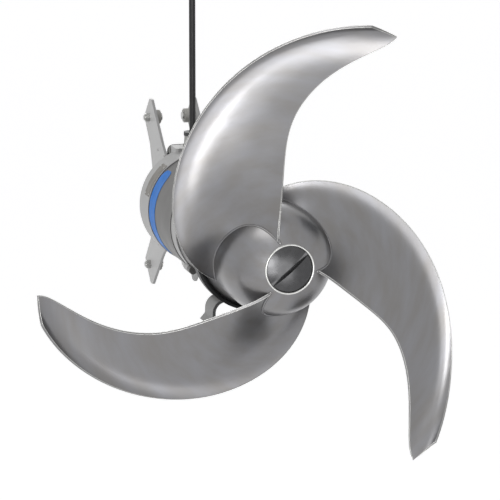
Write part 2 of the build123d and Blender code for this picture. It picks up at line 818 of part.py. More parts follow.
screw_head_rear = screw_head_front + GEARCASE_SCREW_HEAD
with BuildPart() as gear_housing_screws:
    bars(gearcase_front - SCREW_GRIP, screw_head_front, screw_places, GEARCASE_SCREW_R)
    bars(screw_head_front, screw_head_rear, screw_places, GEARCASE_SCREW_HEAD_R)
    hexagon_bars(
        screw_head_rear - SOCKET_DEPTH,
        screw_head_rear,
        screw_places,
        GEARCASE_SOCKET,
        Mode.SUBTRACT,
    )
gear_housing_screws.part.label = "gear_housing_screws"

flange_bore = flange_r - HOUSING_WALL
flange_boss_r = ROTOR_BEARING_R + FLANGE_BOSS_WALL
web_back = flange_front + FLANGE_WEB
seat_rear = front_rotor_bearing + ROTOR_BEARING_WIDTH
lug_rear = flange_front + LUG_LENGTH
with BuildPart() as motor_flange:
    turn([
        (ROTOR_NECK_R + ROTOR_NECK_PLAY, flange_front),
        (flange_r, flange_front),
        (flange_r, motor_front),
        (flange_bore, motor_front),
        (flange_bore, web_back),
        (flange_boss_r, web_back),
        (flange_boss_r, seat_rear),
        (ROTOR_BEARING_R, seat_rear),
        (ROTOR_BEARING_R, front_rotor_bearing),
        (ROTOR_NECK_R + ROTOR_NECK_PLAY, front_rotor_bearing),
    ])
    bars(flange_front, lug_rear, lug_places, LUG_RADIUS)
    bars(lug_rear, motor_front, lug_places, LUG_POCKET_R, Mode.SUBTRACT)
    turn_ring(web_back, motor_front, flange_bore, flange_boss_r, mode=Mode.SUBTRACT)
    bars(flange_front, lug_rear, lug_places, FLANGE_BOLT_R + SEAT, Mode.SUBTRACT)
motor_flange.part.label = "motor_flange"

with BuildPart() as flange_bolts:
    bars(flange_front - SCREW_GRIP, lug_rear, lug_places, FLANGE_BOLT_R)
    hexagon_bars(lug_rear, lug_rear + FLANGE_BOLT_HEAD, lug_places, FLANGE_BOLT_FLATS)
flange_bolts.part.label = "flange_bolts"

with BuildPart() as motor_housing:
    turn_ring(motor_front, cover_front, HOUSING_R, motor_bore)
    for start in (motor_front, cover_front - RING_DEPTH):
        turn_ring(
            start,
            start + RING_DEPTH,
            seal_ring_bore + RING_SECTION + SEAT,
            seal_ring_bore - SEAT,
            mode=Mode.SUBTRACT,
        )
motor_housing.part.label = "motor_housing"

core_front = motor_front + CORE_SET
core_rear = core_front + CORE_LENGTH
stator_bore = ROTOR_CORE_R + MAGNET_THICKNESS + AIR_GAP
with BuildPart() as stator_core:
    turn_ring(core_front, core_rear, motor_bore - SEAT, stator_bore)
    with BuildSketch(across(core_rear)):
        with PolarLocations(stator_bore + SLOT_DEPTH / 2 - SLOT_MOUTH, STATOR_SLOTS):
            Rectangle(SLOT_DEPTH, SLOT_WIDTH)
    extrude(amount=CORE_LENGTH, mode=Mode.SUBTRACT)
stator_core.part.label = "stator_core"

# End turns of the winding: one rounded ring at each end of the stator core
winding_inner = stator_bore + WINDING_STEP
winding_outer = motor_bore - WINDING_CLEARANCE
with BuildPart() as stator_windings:
    for start in (core_front - WINDING_LENGTH, core_rear):
        turn_ring(start, start + WINDING_LENGTH, winding_outer, winding_inner)
    fillet(
        stator_windings.edges().group_by(Axis.Y)[0] + stator_windings.edges().group_by(Axis.Y)[-1],
        radius=WINDING_ROUND,
    )
stator_windings.part.label = "stator_windings"

rotor_rear = rear_rotor_bearing + ROTOR_BEARING_WIDTH
with BuildPart() as rotor_shaft:
    turn([
        (0, gear_front - SUN_SHAFT_END),
        (SUN_BORE_R, gear_front - SUN_SHAFT_END),
        (SUN_BORE_R, gear_rear + SEAT),
        (ROTOR_NECK_R, gear_rear + SEAT),
        (ROTOR_NECK_R, front_rotor_bearing + ROTOR_NECK_STEP),
        (ROTOR_BEARING_BORE, front_rotor_bearing + ROTOR_NECK_STEP),
        (ROTOR_BEARING_BORE, front_rotor_bearing + ROTOR_BEARING_WIDTH + SEAT),
        (ROTOR_SHAFT_R, front_rotor_bearing + ROTOR_BEARING_WIDTH + SEAT),
        (ROTOR_SHAFT_R, rear_rotor_bearing - SEAT),
        (ROTOR_BEARING_BORE, rear_rotor_bearing - SEAT),
        (ROTOR_BEARING_BORE, rotor_rear),
        (0, rotor_rear),
    ])
rotor_shaft.part.label = "rotor_shaft"

with BuildPart() as rotor_core:
    turn_ring(core_front, core_rear, ROTOR_CORE_R, ROTOR_SHAFT_R + SEAT)
rotor_core.part.label = "rotor_core"

with BuildPart() as rotor_magnets:
    turn_ring(core_front, core_rear, ROTOR_CORE_R + MAGNET_THICKNESS, ROTOR_CORE_R + SEAT)
    with BuildSketch(across(core_rear)):
        with PolarLocations(ROTOR_CORE_R, MAGNETS, start_angle=180 / MAGNETS):
            Rectangle(4 * MAGNET_THICKNESS, MAGNET_SPACE)
    extrude(amount=CORE_LENGTH, mode=Mode.SUBTRACT)
rotor_magnets.part.label = "rotor_magnets"

rotor_roller_r = (ROTOR_BEARING_R - ROTOR_BEARING_BORE) / 2 - ROTOR_RACE - SEAT
with BuildPart() as rotor_bearing_inner_rings:
    for start in (front_rotor_bearing, rear_rotor_bearing):
        turn_ring(
            start,
            start + ROTOR_BEARING_WIDTH,
            ROTOR_BEARING_BORE + ROTOR_RACE,
            ROTOR_BEARING_BORE + SEAT,
        )
rotor_bearing_inner_rings.part.label = "rotor_bearing_inner_rings"

with BuildPart() as rotor_bearing_outer_rings:
    for start in (front_rotor_bearing, rear_rotor_bearing):
        turn_ring(
            start,
            start + ROTOR_BEARING_WIDTH,
            ROTOR_BEARING_R - SEAT,
            ROTOR_BEARING_R - ROTOR_RACE,
        )
    for start in (front_rotor_bearing, rear_rotor_bearing):
        bearing_rollers(
            start,
            ROTOR_BEARING_WIDTH,
            rotor_roller_r,
            (ROTOR_BEARING_R + ROTOR_BEARING_BORE) / 2,
            ROTOR_ROLLERS,
        )
rotor_bearing_outer_rings.part.label = "rotor_bearing_outer_rings"

# Rear cover with its bearing boss and the raised block for the cable gland
cover_floor = COVER_BACK - COVER_WALL
cover_boss_r = ROTOR_BEARING_R + COVER_BOSS_WALL
with BuildPart() as rear_cover:
    turn([
        (cover_inner, cover_front),
        (cover_r, cover_front),
        (cover_r, COVER_BACK),
        (0, COVER_BACK),
        (0, cover_floor),
        (ROTOR_BEARING_R, cover_floor),
        (ROTOR_BEARING_R, rear_rotor_bearing),
        (cover_boss_r, rear_rotor_bearing),
        (cover_boss_r, cover_floor),
        (cover_inner, cover_floor),
    ])
    fillet(rear_cover.edges().filter_by(GeomType.CIRCLE).sort_by(Axis.Y)[-1], radius=COVER_EDGE)
    with BuildSketch(Plane.XY.offset(gland_seat)):
        with Locations((0, COVER_BACK + (ENTRY_BEHIND - ENTRY_AHEAD) / 2)):
            RectangleRounded(2 * ENTRY_HALF, ENTRY_BEHIND + ENTRY_AHEAD, ENTRY_CORNER)
    extrude(amount=-ENTRY_HEIGHT)
    turn_ring(cover_front, cover_floor, cover_inner, cover_boss_r, mode=Mode.SUBTRACT)
    with BuildSketch(Plane.XY.offset(gland_seat)):
        with Locations((0, COVER_BACK)):
            Circle(GLAND_NIPPLE_R + SEAT)
    extrude(amount=-GLAND_NIPPLE - SEAT, mode=Mode.SUBTRACT)
    hole_end = COVER_BACK - COVER_GRIP - HOLE_SPARE
    bars(hole_end, COVER_BACK, cover_screw_places, COVER_SCREW_R + SEAT, Mode.SUBTRACT)
    bars(hole_end, COVER_BACK, mounting_bolt_places, MOUNTING_BOLT_R + SEAT, Mode.SUBTRACT)
rear_cover.part.label = "rear_cover"

cover_head_rear = COVER_BACK + COVER_SCREW_HEAD
with BuildPart() as rear_cover_screws:
    bars(COVER_BACK - COVER_GRIP, COVER_BACK, cover_screw_places, COVER_SCREW_R)
    bars(COVER_BACK, cover_head_rear, cover_screw_places, COVER_SCREW_HEAD_R)
    hexagon_bars(
        cover_head_rear - SOCKET_DEPTH,
        cover_head_rear,
        cover_screw_places,
        COVER_SOCKET,
        Mode.SUBTRACT,
    )
rear_cover_screws.part.label = "rear_cover_screws"

terminal_z = cover_inner - TERMINAL_DROP
with BuildPart() as terminal_block:
    with BuildSketch(across(cover_floor)):
        with Locations((0, terminal_z)):
            RectangleRounded(*TERMINAL_SIZE, TERMINAL_CORNER)
    extrude(amount=TERMINAL_DEPTH)
    with BuildSketch(across(cover_floor - TERMINAL_WELL)):
        with Locations((0, terminal_z)):
            with GridLocations(TERMINAL_PITCH, 0, TERMINALS, 1):
                Circle(TERMINAL_R)
    extrude(amount=TERMINAL_WELL, mode=Mode.SUBTRACT)
terminal_block.part.label = "terminal_block"

# Sealing rings in the joints of the casings
with BuildPart() as casing_seal_rings:
    for start in (motor_front, cover_front - RING_DEPTH):
        turn_ring(start, start + RING_DEPTH, seal_ring_bore + RING_SECTION, seal_ring_bore)
casing_seal_rings.part.label = "casing_seal_rings"


def strip(rear, width, inner, angles, corner):
    """Thin curved plate on the left of a casing, cut to a rounded outline."""
    top, bottom = [inner * sin(radians(angle)) for angle in angles]
    turn_ring(rear - width, rear, inner + STRIP_THICKNESS, inner)
    with BuildSketch(Plane.YZ) as outline:
        with Locations((rear - width / 2, (top + bottom) / 2)):
            RectangleRounded(width, top - bottom, corner)
    extrude(outline.sketch, amount=-2 * inner, mode=Mode.INTERSECT)


# The plain blue band on the motor housing and the blank data plate on the cover
with BuildPart() as blue_band:
    strip(cover_front - BAND_INSET, BAND_WIDTH, HOUSING_R + SEAT, BAND_ANGLES, BAND_CORNER)
blue_band.part.label = "blue_band"

with BuildPart() as data_plate:
    strip(COVER_BACK - DATA_INSET, DATA_WIDTH, cover_r + SEAT, DATA_ANGLES, DATA_CORNER)
data_plate.part.label = "data_plate"

# Cable gland, standing on the block of the rear cover
with BuildPart() as gland_body:
    with BuildSketch(Plane.XY.offset(gland_seat - GLAND_NIPPLE)):
        with Locations((0, COVER_BACK)):
            Circle(GLAND_NIPPLE_R)
    extrude(amount=GLAND_NIPPLE)
    with BuildSketch(Plane.XY.offset(gland_seat)):
        with Locations((0, COVER_BACK)):
            hexagon(GLAND_FLATS)
    extrude(amount=GLAND_COLLAR)
    with Locations((0, COVER_BACK, gland_seat + GLAND_COLLAR)):
        Cone(
            GLAND_FLATS / 2,
            GLAND_TOP_R,
            GLAND_HEIGHT - GLAND_COLLAR,
            align=(Align.CENTER, Align.CENTER, Align.MIN),
        )
gland_body.part.label = "gland_body"

with BuildPart() as gland_nut:
    with BuildSketch(Plane.XY.offset(nut_base)):
        with Locations((0, COVER_BACK)):
            Circle(NUT_R)
            Circle(CABLE_R, mode=Mode.SUBTRACT)
    extrude(amount=NUT_HEIGHT)
    chamfer(gland_nut.edges().filter_by(GeomType.CIRCLE).sort_by(Axis.Z)[-1], length=NUT_EDGE)
gland_nut.part.label = "gland_nut"

# The cable runs straight up: it is held by the clamp above
with BuildPart() as power_cable:
    with BuildSketch(Plane.XY.offset(nut_base)):
        with Locations((0, COVER_BACK)):
            Circle(CABLE_R - SEAT)
    extrude(amount=CABLE_TOP - nut_base)
power_cable.part.label = "power_cable"

with BuildPart() as cable_clamp:
    with BuildSketch(Plane.XY.offset(CABLE_TOP)):
        with Locations((0, COVER_BACK)):
            Circle(CLAMP_R)
    extrude(amount=CLAMP_LENGTH)
    chamfer(cable_clamp.edges().group_by(Axis.Z)[0], length=CLAMP_EDGE)
    with BuildSketch(across(COVER_BACK)):
        with Locations((0, CABLE_TOP + CLAMP_LENGTH + EYE_R - EYE_SINK)):
            Circle(EYE_R)
            Rectangle(2 * EYE_R, EYE_R, align=(Align.CENTER, Align.MAX))
            Circle(EYE_HOLE_R, mode=Mode.SUBTRACT)
    extrude(amount=EYE_PLATE / 2, both=True)
cable_clamp.part.label = "cable_clamp"

# Foot: one bent strap bolted to the pad under the gear housing
strap_z = foot_z - FOOT_PLATE / 2
knee = (FOOT_KNEE[0], foot_z - FOOT_KNEE[1])
toe = (FOOT_TOE[0], foot_z - FOOT_TOE[1])
leg = (
    FOOT_CORNER_X + LEG_SHARE * (knee[0] - FOOT_CORNER_X),
    strap_z + LEG_SHARE * (knee[1] - strap_z),
)
with BuildPart() as support_foot:
    with BuildSketch(across(foot_rear)):
        with BuildLine():
            FilletPolyline(
                (-leg[0], leg[1]),
                (-FOOT_CORNER_X, strap_z),
                (FOOT_CORNER_X, strap_z),
                leg,
                radius=FOOT_BEND,
            )
            for side in (-1, 1):
                FilletPolyline(
                    (side * leg[0], leg[1]),
                    (side * knee[0], knee[1]),
                    (side * toe[0], toe[1]),
                    radius=KNEE_BEND,
                )
        trace(line_width=FOOT_PLATE)
    extrude(amount=FOOT_LENGTH)
    with BuildSketch(Plane.XY.offset(foot_z)):
        with Locations(*foot_screw_places):
            Circle(FOOT_SCREW_R + SEAT)
    extrude(amount=-FOOT_PLATE, mode=Mode.SUBTRACT)
support_foot.part.label = "support_foot"

with BuildPart() as foot_screws:
    with BuildSketch(Plane.XY.offset(foot_z - FOOT_PLATE)):
        with Locations(*foot_screw_places):
            hexagon(FOOT_SCREW_FLATS)
    extrude(amount=-FOOT_SCREW_HEAD)
    with BuildSketch(Plane.XY.offset(foot_z - FOOT_PLATE)):
        with Locations(*foot_screw_places):
            Circle(FOOT_SCREW_R)
    extrude(amount=FOOT_PLATE + SCREW_GRIP)
foot_screws.part.label = "foot_screws"

# Guide bracket: mounting plate, two side plates and two cross blocks
with BuildPart() as mounting_plate:
    with BuildSketch(across(plate_front)):
        with Locations((0, BRACKET_Z)):
            RectangleRounded(2 * mounting_half[0], 2 * mounting_half[1], MOUNTING_CORNER)
    extrude(amount=MOUNTING_PLATE)
    bars(COVER_BACK, plate_front, mounting_bolt_places, MOUNTING_BOLT_R + SEAT, Mode.SUBTRACT)
mounting_plate.part.label = "mounting_plate"

with BuildPart() as mounting_bolts:
    bars(COVER_BACK - COVER_GRIP, plate_front, mounting_bolt_places, MOUNTING_BOLT_R)
    hexagon_bars(
        plate_front,
        plate_front + MOUNTING_BOLT_HEAD,
        mounting_bolt_places,
        MOUNTING_BOLT_FLATS,
    )
mounting_bolts.part.label = "mounting_bolts"

bracket_top = [(plate_front, plate_root)]
bracket_top += [(roller_y + behind, height) for behind, height in PLATE_CORNERS]
plate_outline = [(y, BRACKET_Z + z) for y, z in bracket_top]
plate_outline += [(y, BRACKET_Z - z) for y, z in reversed(bracket_top)]
tip_corners = (plate_root + PLATE_CORNERS[-2][1]) / 2
roller_places = [(roller_y, BRACKET_Z + side * ROLLER_Z) for side in (1, -1)]
pad_hole_places = [(PAD_HOLE_Y, BRACKET_Z + side * PAD_HOLE_SPACING / 2) for side in (1, -1)]
sides = {"left": -1, "right": 1}
side_plates = []
for name, side in sides.items():
    with BuildPart() as side_plate:
        with BuildSketch(Plane.YZ.offset(side * (half_gap + PLATE / 2))) as plate_sketch:
            with BuildLine():
                Polyline(*plate_outline, close=True)
            make_face()
            corners = plate_sketch.vertices().filter_by(
                lambda corner: abs(corner.Y - BRACKET_Z) > tip_corners
            )
            fillet(corners, radius=PLATE_CORNER)
            with Locations(*roller_places):
                Circle(ROLLER_BOLT_R + SEAT, mode=Mode.SUBTRACT)
            with Locations(*pad_hole_places):
                Circle(PAD_HOLE_R, mode=Mode.SUBTRACT)
            with Locations((BAIL_PIVOT_Y, BAIL_PIVOT_Z)):
                Circle(BAIL_PIN_R + SEAT, mode=Mode.SUBTRACT)
        extrude(amount=PLATE / 2, both=True)
    side_plate.part.label = f"{name}_side_plate"
    side_plates.append(side_plate.part)

with BuildPart() as cross_blocks:
    for block_z in (BLOCK_TOP, 2 * BRACKET_Z - BLOCK_TOP + BLOCK_HEIGHT):
        with BuildSketch(across(block_back)):
            with Locations((0, block_z)):
                Rectangle(2 * half_gap, BLOCK_HEIGHT, align=(Align.CENTER, Align.MAX))
        extrude(amount=BLOCK_DEPTH)
cross_blocks.part.label = "cross_blocks"

# Bail with an eye at the end of each leg, lying back on the upper cross block
bail_y = BAIL_PIVOT_Y + BAIL_REACH * cos(radians(BAIL_TILT))
bail_z = BAIL_PIVOT_Z + BAIL_REACH * sin(radians(BAIL_TILT))
with BuildPart() as lifting_bail:
    with BuildLine() as bail_path:
        FilletPolyline(
            (-BAIL_HALF, BAIL_PIVOT_Y, BAIL_PIVOT_Z),
            (-BAIL_HALF, bail_y, bail_z),
            (BAIL_HALF, bail_y, bail_z),
            (BAIL_HALF, BAIL_PIVOT_Y, BAIL_PIVOT_Z),
            radius=BAIL_CORNER,
        )
    with BuildSketch(Plane(origin=bail_path.line @ 0, z_dir=bail_path.line % 0)):
        Circle(BAIL_R)
    sweep()
    for side in (-1, 1):
        with BuildSketch(Plane.YZ.offset(side * BAIL_HALF)):
            with Locations((BAIL_PIVOT_Y, BAIL_PIVOT_Z)):
                Circle(BAIL_EYE_R)
        extrude(amount=BAIL_EYE_WIDTH / 2, both=True)
    with BuildSketch(Plane.YZ):
        with Locations((BAIL_PIVOT_Y, BAIL_PIVOT_Z)):
            Circle(BAIL_PIN_R + RUNNING)
    extrude(amount=half_gap, both=True, mode=Mode.SUBTRACT)
lifting_bail.part.label = "lifting_bail"

with BuildPart() as bail_pins:
    for side in (-1, 1):
        inner = side * (BAIL_HALF - BAIL_EYE_WIDTH / 2 - BAIL_PIN_END)
        with BuildSketch(Plane.YZ.offset(inner)):
            with Locations((BAIL_PIVOT_Y, BAIL_PIVOT_Z)):
                Circle(BAIL_PIN_R)
        extrude(amount=side * (half_gap + PLATE - abs(inner)))
        with BuildSketch(Plane.YZ.offset(side * (half_gap + PLATE))):
            with Locations((BAIL_PIVOT_Y, BAIL_PIVOT_Z)):
                Circle(BAIL_PIN_R + BAIL_PIN_RIM)
        extrude(amount=side * BAIL_PIN_RIM)
bail_pins.part.label = "bail_pins"

# Guide rollers on their bolts, one at each end of each side plate
rollers = []
for level, (place_y, place_z) in zip(("upper", "lower"), roller_places):
    for name, side in sides.items():
        with BuildPart() as roller:
            with BuildSketch(Plane.YZ.offset(side * (half_gap - FACE_GAP))):
                with Locations((place_y, place_z)):
                    Circle(ROLLER_R)
                    Circle(ROLLER_BOLT_R + RUNNING, mode=Mode.SUBTRACT)
            extrude(amount=-side * ROLLER_WIDTH)
            rims = roller.edges().filter_by(GeomType.CIRCLE).sort_by(SortBy.RADIUS)[-2:]
            chamfer(rims, length=ROLLER_EDGE)
        roller.part.label = f"{level}_{name}_roller"
        rollers.append(roller.part)

roller_inner = half_gap - ROLLER_WIDTH - 2 * FACE_GAP
with BuildPart() as roller_bolts:
    for side in sides.values():
        with BuildSketch(Plane.YZ.offset(side * roller_inner)):
            with Locations(*roller_places):
                Circle(ROLLER_BOLT_R)
        extrude(amount=side * (half_gap + PLATE + ROLLER_BOLT_END - roller_inner))
        with BuildSketch(Plane.YZ.offset(side * roller_inner)):
            with Locations(*roller_places):
                Circle(ROLLER_HEAD_R)
        extrude(amount=-side * ROLLER_HEAD)
roller_bolts.part.label = "roller_bolts"

with BuildPart() as roller_nuts:
    for side in sides.values():
        with BuildSketch(Plane.YZ.offset(side * (half_gap + PLATE))):
            with Locations(*roller_places):
                hexagon(ROLLER_NUT_FLATS)
                Circle(ROLLER_BOLT_R + SEAT, mode=Mode.SUBTRACT)
        extrude(amount=side * ROLLER_NUT)
roller_nuts.part.label = "roller_nuts"

pieces = [
    propeller_hub.part,
    *blades,
    nose_cap.part,
    hub_bolt.part,
    hub_key.part,
    output_shaft.part,
    shaft_bearing_inner_rings.part,
    shaft_bearing_outer_rings.part,
    shaft_bearing_rollers.part,
    bearing_spacer.part,
    seal_rotating_faces.part,
    seal_fixed_faces.part,
    seal_housing.part,
    deflector_ring.part,
    sun_gear.part,
    *planet_gears,
    ring_gear.part,
    planet_carrier.part,
    planet_pins.part,
    gear_housing.part,
    gear_housing_screws.part,
    motor_flange.part,
    flange_bolts.part,
    motor_housing.part,
    stator_core.part,
    stator_windings.part,
    rotor_shaft.part,
    rotor_core.part,
    rotor_magnets.part,
    rotor_bearing_inner_rings.part,
    rotor_bearing_outer_rings.part,
    rear_cover.part,
    rear_cover_screws.part,
    terminal_block.part,
    casing_seal_rings.part,
    blue_band.part,
    data_plate.part,
    gland_body.part,
    gland_nut.part,
    power_cable.part,
    cable_clamp.part,
    support_foot.part,
    foot_screws.part,
    mounting_plate.part,
    mounting_bolts.part,
    *side_plates,
    cross_blocks.part,
    lifting_bail.part,
    bail_pins.part,
    *rollers,
    roller_bolts.part,
    roller_nuts.part,
]

os.makedirs("parts", exist_ok=True)
for piece in pieces:
    export_step(piece, f"parts/{piece.label}.step")
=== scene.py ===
"""Submersible mixer: finishes, cable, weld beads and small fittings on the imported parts,
with a pale floor, soft light and the camera."""

import math

import bpy
import numpy as np
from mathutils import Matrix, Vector


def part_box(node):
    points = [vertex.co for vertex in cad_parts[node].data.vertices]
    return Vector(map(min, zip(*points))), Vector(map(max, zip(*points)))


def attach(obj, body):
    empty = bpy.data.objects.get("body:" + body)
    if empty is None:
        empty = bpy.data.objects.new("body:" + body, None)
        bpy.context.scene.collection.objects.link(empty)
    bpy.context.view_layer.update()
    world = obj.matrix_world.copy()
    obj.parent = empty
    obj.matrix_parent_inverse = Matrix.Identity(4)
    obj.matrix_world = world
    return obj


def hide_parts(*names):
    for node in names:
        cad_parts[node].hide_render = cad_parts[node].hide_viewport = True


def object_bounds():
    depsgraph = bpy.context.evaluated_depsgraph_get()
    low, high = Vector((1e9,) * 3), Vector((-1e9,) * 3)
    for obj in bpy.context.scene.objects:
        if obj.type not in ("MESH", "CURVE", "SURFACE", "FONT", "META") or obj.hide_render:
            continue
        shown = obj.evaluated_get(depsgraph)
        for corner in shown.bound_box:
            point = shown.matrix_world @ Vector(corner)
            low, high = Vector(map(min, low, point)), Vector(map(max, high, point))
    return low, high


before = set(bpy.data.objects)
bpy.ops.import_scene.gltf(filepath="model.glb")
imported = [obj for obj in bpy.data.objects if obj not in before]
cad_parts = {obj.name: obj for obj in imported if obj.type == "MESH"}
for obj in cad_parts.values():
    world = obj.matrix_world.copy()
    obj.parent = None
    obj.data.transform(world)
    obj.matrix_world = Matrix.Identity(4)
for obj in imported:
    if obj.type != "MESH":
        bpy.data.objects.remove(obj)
cad_low, cad_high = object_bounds()
cable_low, cable_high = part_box("power_cable")

bl_info = {
    "name": "Submersible mixer",
    "version": (1, 0, 0),
    "blender": (4, 5, 0),
    "location": "3D View > Sidebar > Mixer",
    "description": "Dresses the parts of a submersible mixer",
    "category": "Object",
}

# Part of a noise's range that is spread over a colour or a gloss
NOISE_LOW = 0.3
NOISE_HIGH = 0.7

# Shine of plastic and rubber, and of the film and sheath, which shine less
SHINE = 0.5
DULL_SHINE = 0.36

# Cable: distances from either end of the points that keep its ends straight, and
# the roundness of its section
CABLE_STRAIGHTS = (0.04, 0.12)
CABLE_ROUND = 8

# Beads: steps from point to point, and the roundness of their section
BEAD_STEPS = 4
BEAD_ROUND = 3

# Weld round a blade's root: how near the hub its edge lies, degree of the fitted
# curve, points along each side, and a radius outside the hub
BLADES = (1, 2, 3)
ROOT_REACH = 0.0006
ROOT_DEGREE = 7
ROOT_POINTS = 44
HUB_OUTSIDE = 0.4

# Blade edges: vertices this near are one, the least angle of a sharp edge, and the
# roundness of the bar along it
MERGE_REACH = 0.00001
SHARP_ANGLE = math.radians(50)
EDGE_ROUND = 1

# Rolled lip of the nose: its radius, and the steps round it and round its section
LIP_RING_RADIUS = 0.0685
LIP_STEPS = 128
LIP_ROUND = 16

# Welds of the side plates: lowest and highest point, and points of a bead
SIDE_PLATES = ("left_side_plate", "right_side_plate")
WELD_HEIGHTS = (-0.118, 0.098)
WELD_POINTS = 12

# Casing seams: points round a bead, and the gear housing's radius at the flange
SEAM_POINTS = 96
GEARCASE_OUTSIDE = 0.160

# Rivet heads: sides, height and rounding as shares of the radius, and steps of the
# rounding
RIVET_SIDES = 20
RIVET_HEIGHT = 0.8
RIVET_ROUNDING = 0.34
RIVET_STEPS = 4

# Camera and floor
SENSOR_WIDTH = 36
CLIP_END = 200
FLOOR_SIZE = 60
FLOOR_ROUGHNESS = 0.9

# Where the cards and the lights face
AIM = Vector((0, -1.0, 0))

# Cards that darken the steel's reflections from the right: name, place and side
CARDS = (
    ("low_card", (1.37, -0.47, -2.02), 1.1),
    ("high_card", (2.43, -0.35, 1.63), 1.7),
)

# Lights: name, place, width and height, radiance, and what they light: the gloss
# alone, the colour alone, or both
LIGHTS = (
    ("key softbox", (-1.87, -5.63, -0.22), (1.70, 2.80), 7.2, "gloss"),
    ("upper softbox", (-1.77, -5.61, 0.78), (2.10, 1.05), 2.8, "gloss"),
    ("front softbox", (0.51, -5.85, -1.08), (2.70, 4.10), 2.1, "gloss"),
    ("left fill", (-6.00, -0.10, 0.90), (3.00, 3.00), 5.6, "colour"),
    ("top softbox", (-1.80, -2.51, 4.41), (3.00, 2.40), 2.4, "both"),
    ("rear softbox", (1.50, 5.50, 2.00), (3.00, 2.50), 1.5, "both"),
)


# Settings


class MixerColours(bpy.types.PropertyGroup):
    """Colours of the finishes."""

    steel: bpy.props.FloatVectorProperty(
        name="Propeller steel", description="Satin stainless steel of the blades and hub",
        subtype="COLOR", default=(0.214, 0.212, 0.213), min=0, max=1)
    bright_steel: bpy.props.FloatVectorProperty(
        name="Bright steel", description="Screws, bolts, shafts, cable clamp and nose lip",
        subtype="COLOR", default=(0.42, 0.42, 0.41), min=0, max=1)
    cap: bpy.props.FloatVectorProperty(
        name="Nose cap", description="Blackened cap in the hub's nose",
        subtype="COLOR", default=(0.072, 0.072, 0.074), min=0, max=1)
    housing: bpy.props.FloatVectorProperty(
        name="Motor housing", description="Grey coat of the motor and gear housings",
        subtype="COLOR", default=(0.115, 0.113, 0.110), min=0, max=1)
    casing: bpy.props.FloatVectorProperty(
        name="Cover and flange", description="Lighter grey of the rear cover and the flange",
        subtype="COLOR", default=(0.345, 0.345, 0.34), min=0, max=1)
    bracket: bpy.props.FloatVectorProperty(
        name="Guide bracket", description="Pickled stainless plate of the bracket",
        subtype="COLOR", default=(0.40, 0.40, 0.395), min=0, max=1)
    bail: bpy.props.FloatVectorProperty(
        name="Lifting bail", description="Dull steel of the lifting bail",
        subtype="COLOR", default=(0.16, 0.16, 0.155), min=0, max=1)
    rollers: bpy.props.FloatVectorProperty(
        name="Guide rollers", description="Plastic of the guide rollers",
        subtype="COLOR", default=(0.50, 0.49, 0.46), min=0, max=1)
    foot: bpy.props.FloatVectorProperty(
        name="Foot", description="Steel of the strap foot and its screws",
        subtype="COLOR", default=(0.19, 0.19, 0.188), min=0, max=1)
    band: bpy.props.FloatVectorProperty(
        name="Band", description="Plain blue band on the motor housing",
        subtype="COLOR", default=(0.006, 0.139, 0.48), min=0, max=1)
    data_plate: bpy.props.FloatVectorProperty(
        name="Data plate", description="Blank metal data plate",
        subtype="COLOR", default=(0.19, 0.18, 0.165), min=0, max=1)
    gland: bpy.props.FloatVectorProperty(
        name="Cable gland", description="Metal of the cable gland's body",
        subtype="COLOR", default=(0.30, 0.30, 0.29), min=0, max=1)
    black: bpy.props.FloatVectorProperty(
        name="Black", description="Deflector ring and gland nut",
        subtype="COLOR", default=(0.022, 0.023, 0.024), min=0, max=1)
    rubber: bpy.props.FloatVectorProperty(
        name="Rubber", description="Cable sheath, sealing rings and casing seams",
        subtype="COLOR", default=(0.011, 0.011, 0.012), min=0, max=1)
    gear_steel: bpy.props.FloatVectorProperty(
        name="Gear steel", description="Ground steel of the gears and their carrier",
        subtype="COLOR", default=(0.36, 0.35, 0.33), min=0, max=1)
    core_iron: bpy.props.FloatVectorProperty(
        name="Core iron", description="Stacked iron of the stator and the rotor",
        subtype="COLOR", default=(0.12, 0.12, 0.13), min=0, max=1)
    magnets: bpy.props.FloatVectorProperty(
        name="Magnets", description="Sintered magnets of the rotor",
        subtype="COLOR", default=(0.10, 0.10, 0.11), min=0, max=1)
    copper: bpy.props.FloatVectorProperty(
        name="Copper", description="Varnished copper of the windings",
        subtype="COLOR", default=(0.48, 0.16, 0.06), min=0, max=1)
    seal_faces: bpy.props.FloatVectorProperty(
        name="Seal faces", description="Lapped faces of the shaft seals",
        subtype="COLOR", default=(0.05, 0.05, 0.055), min=0, max=1)
    terminals: bpy.props.FloatVectorProperty(
        name="Terminal block", description="Plastic of the terminal block",
        subtype="COLOR", default=(0.62, 0.60, 0.52), min=0, max=1)


class MixerSizes(bpy.types.PropertyGroup):
    """Sizes of the fittings that are added to the parts."""

    cable_diameter: bpy.props.FloatProperty(
        name="Cable diameter", description="Diameter of the cable sheath",
        default=cable_high.x - cable_low.x, unit="LENGTH", subtype="DISTANCE")
    weld_radius: bpy.props.FloatProperty(
        name="Blade weld", description="Radius of the weld bead at a blade's root",
        default=0.0032, unit="LENGTH", subtype="DISTANCE")
    edge_radius: bpy.props.FloatProperty(
        name="Blade edge", description="Radius of the rounded edges of the blades",
        default=0.0009, unit="LENGTH", subtype="DISTANCE")
    lip_radius: bpy.props.FloatProperty(
        name="Nose lip", description="Radius of the section of the lip round the nose cap",
        default=0.0032, unit="LENGTH", subtype="DISTANCE")
    bracket_weld: bpy.props.FloatProperty(
        name="Bracket weld", description="Radius of the weld beads of the side plates",
        default=0.0035, unit="LENGTH", subtype="DISTANCE")
    seam_radius: bpy.props.FloatProperty(
        name="Casing seam", description="Radius of the sealing bead in a casing joint",
        default=0.0008, unit="LENGTH", subtype="DISTANCE")
    rivet_radius: bpy.props.FloatProperty(
        name="Plate rivet", description="Radius of a data plate rivet's head",
        default=0.0028, unit="LENGTH", subtype="DISTANCE")
    rivet_inset: bpy.props.FloatProperty(
        name="Rivet inset", description="Distance of a rivet from the data plate's edges",
        default=0.0065, unit="LENGTH", subtype="DISTANCE")


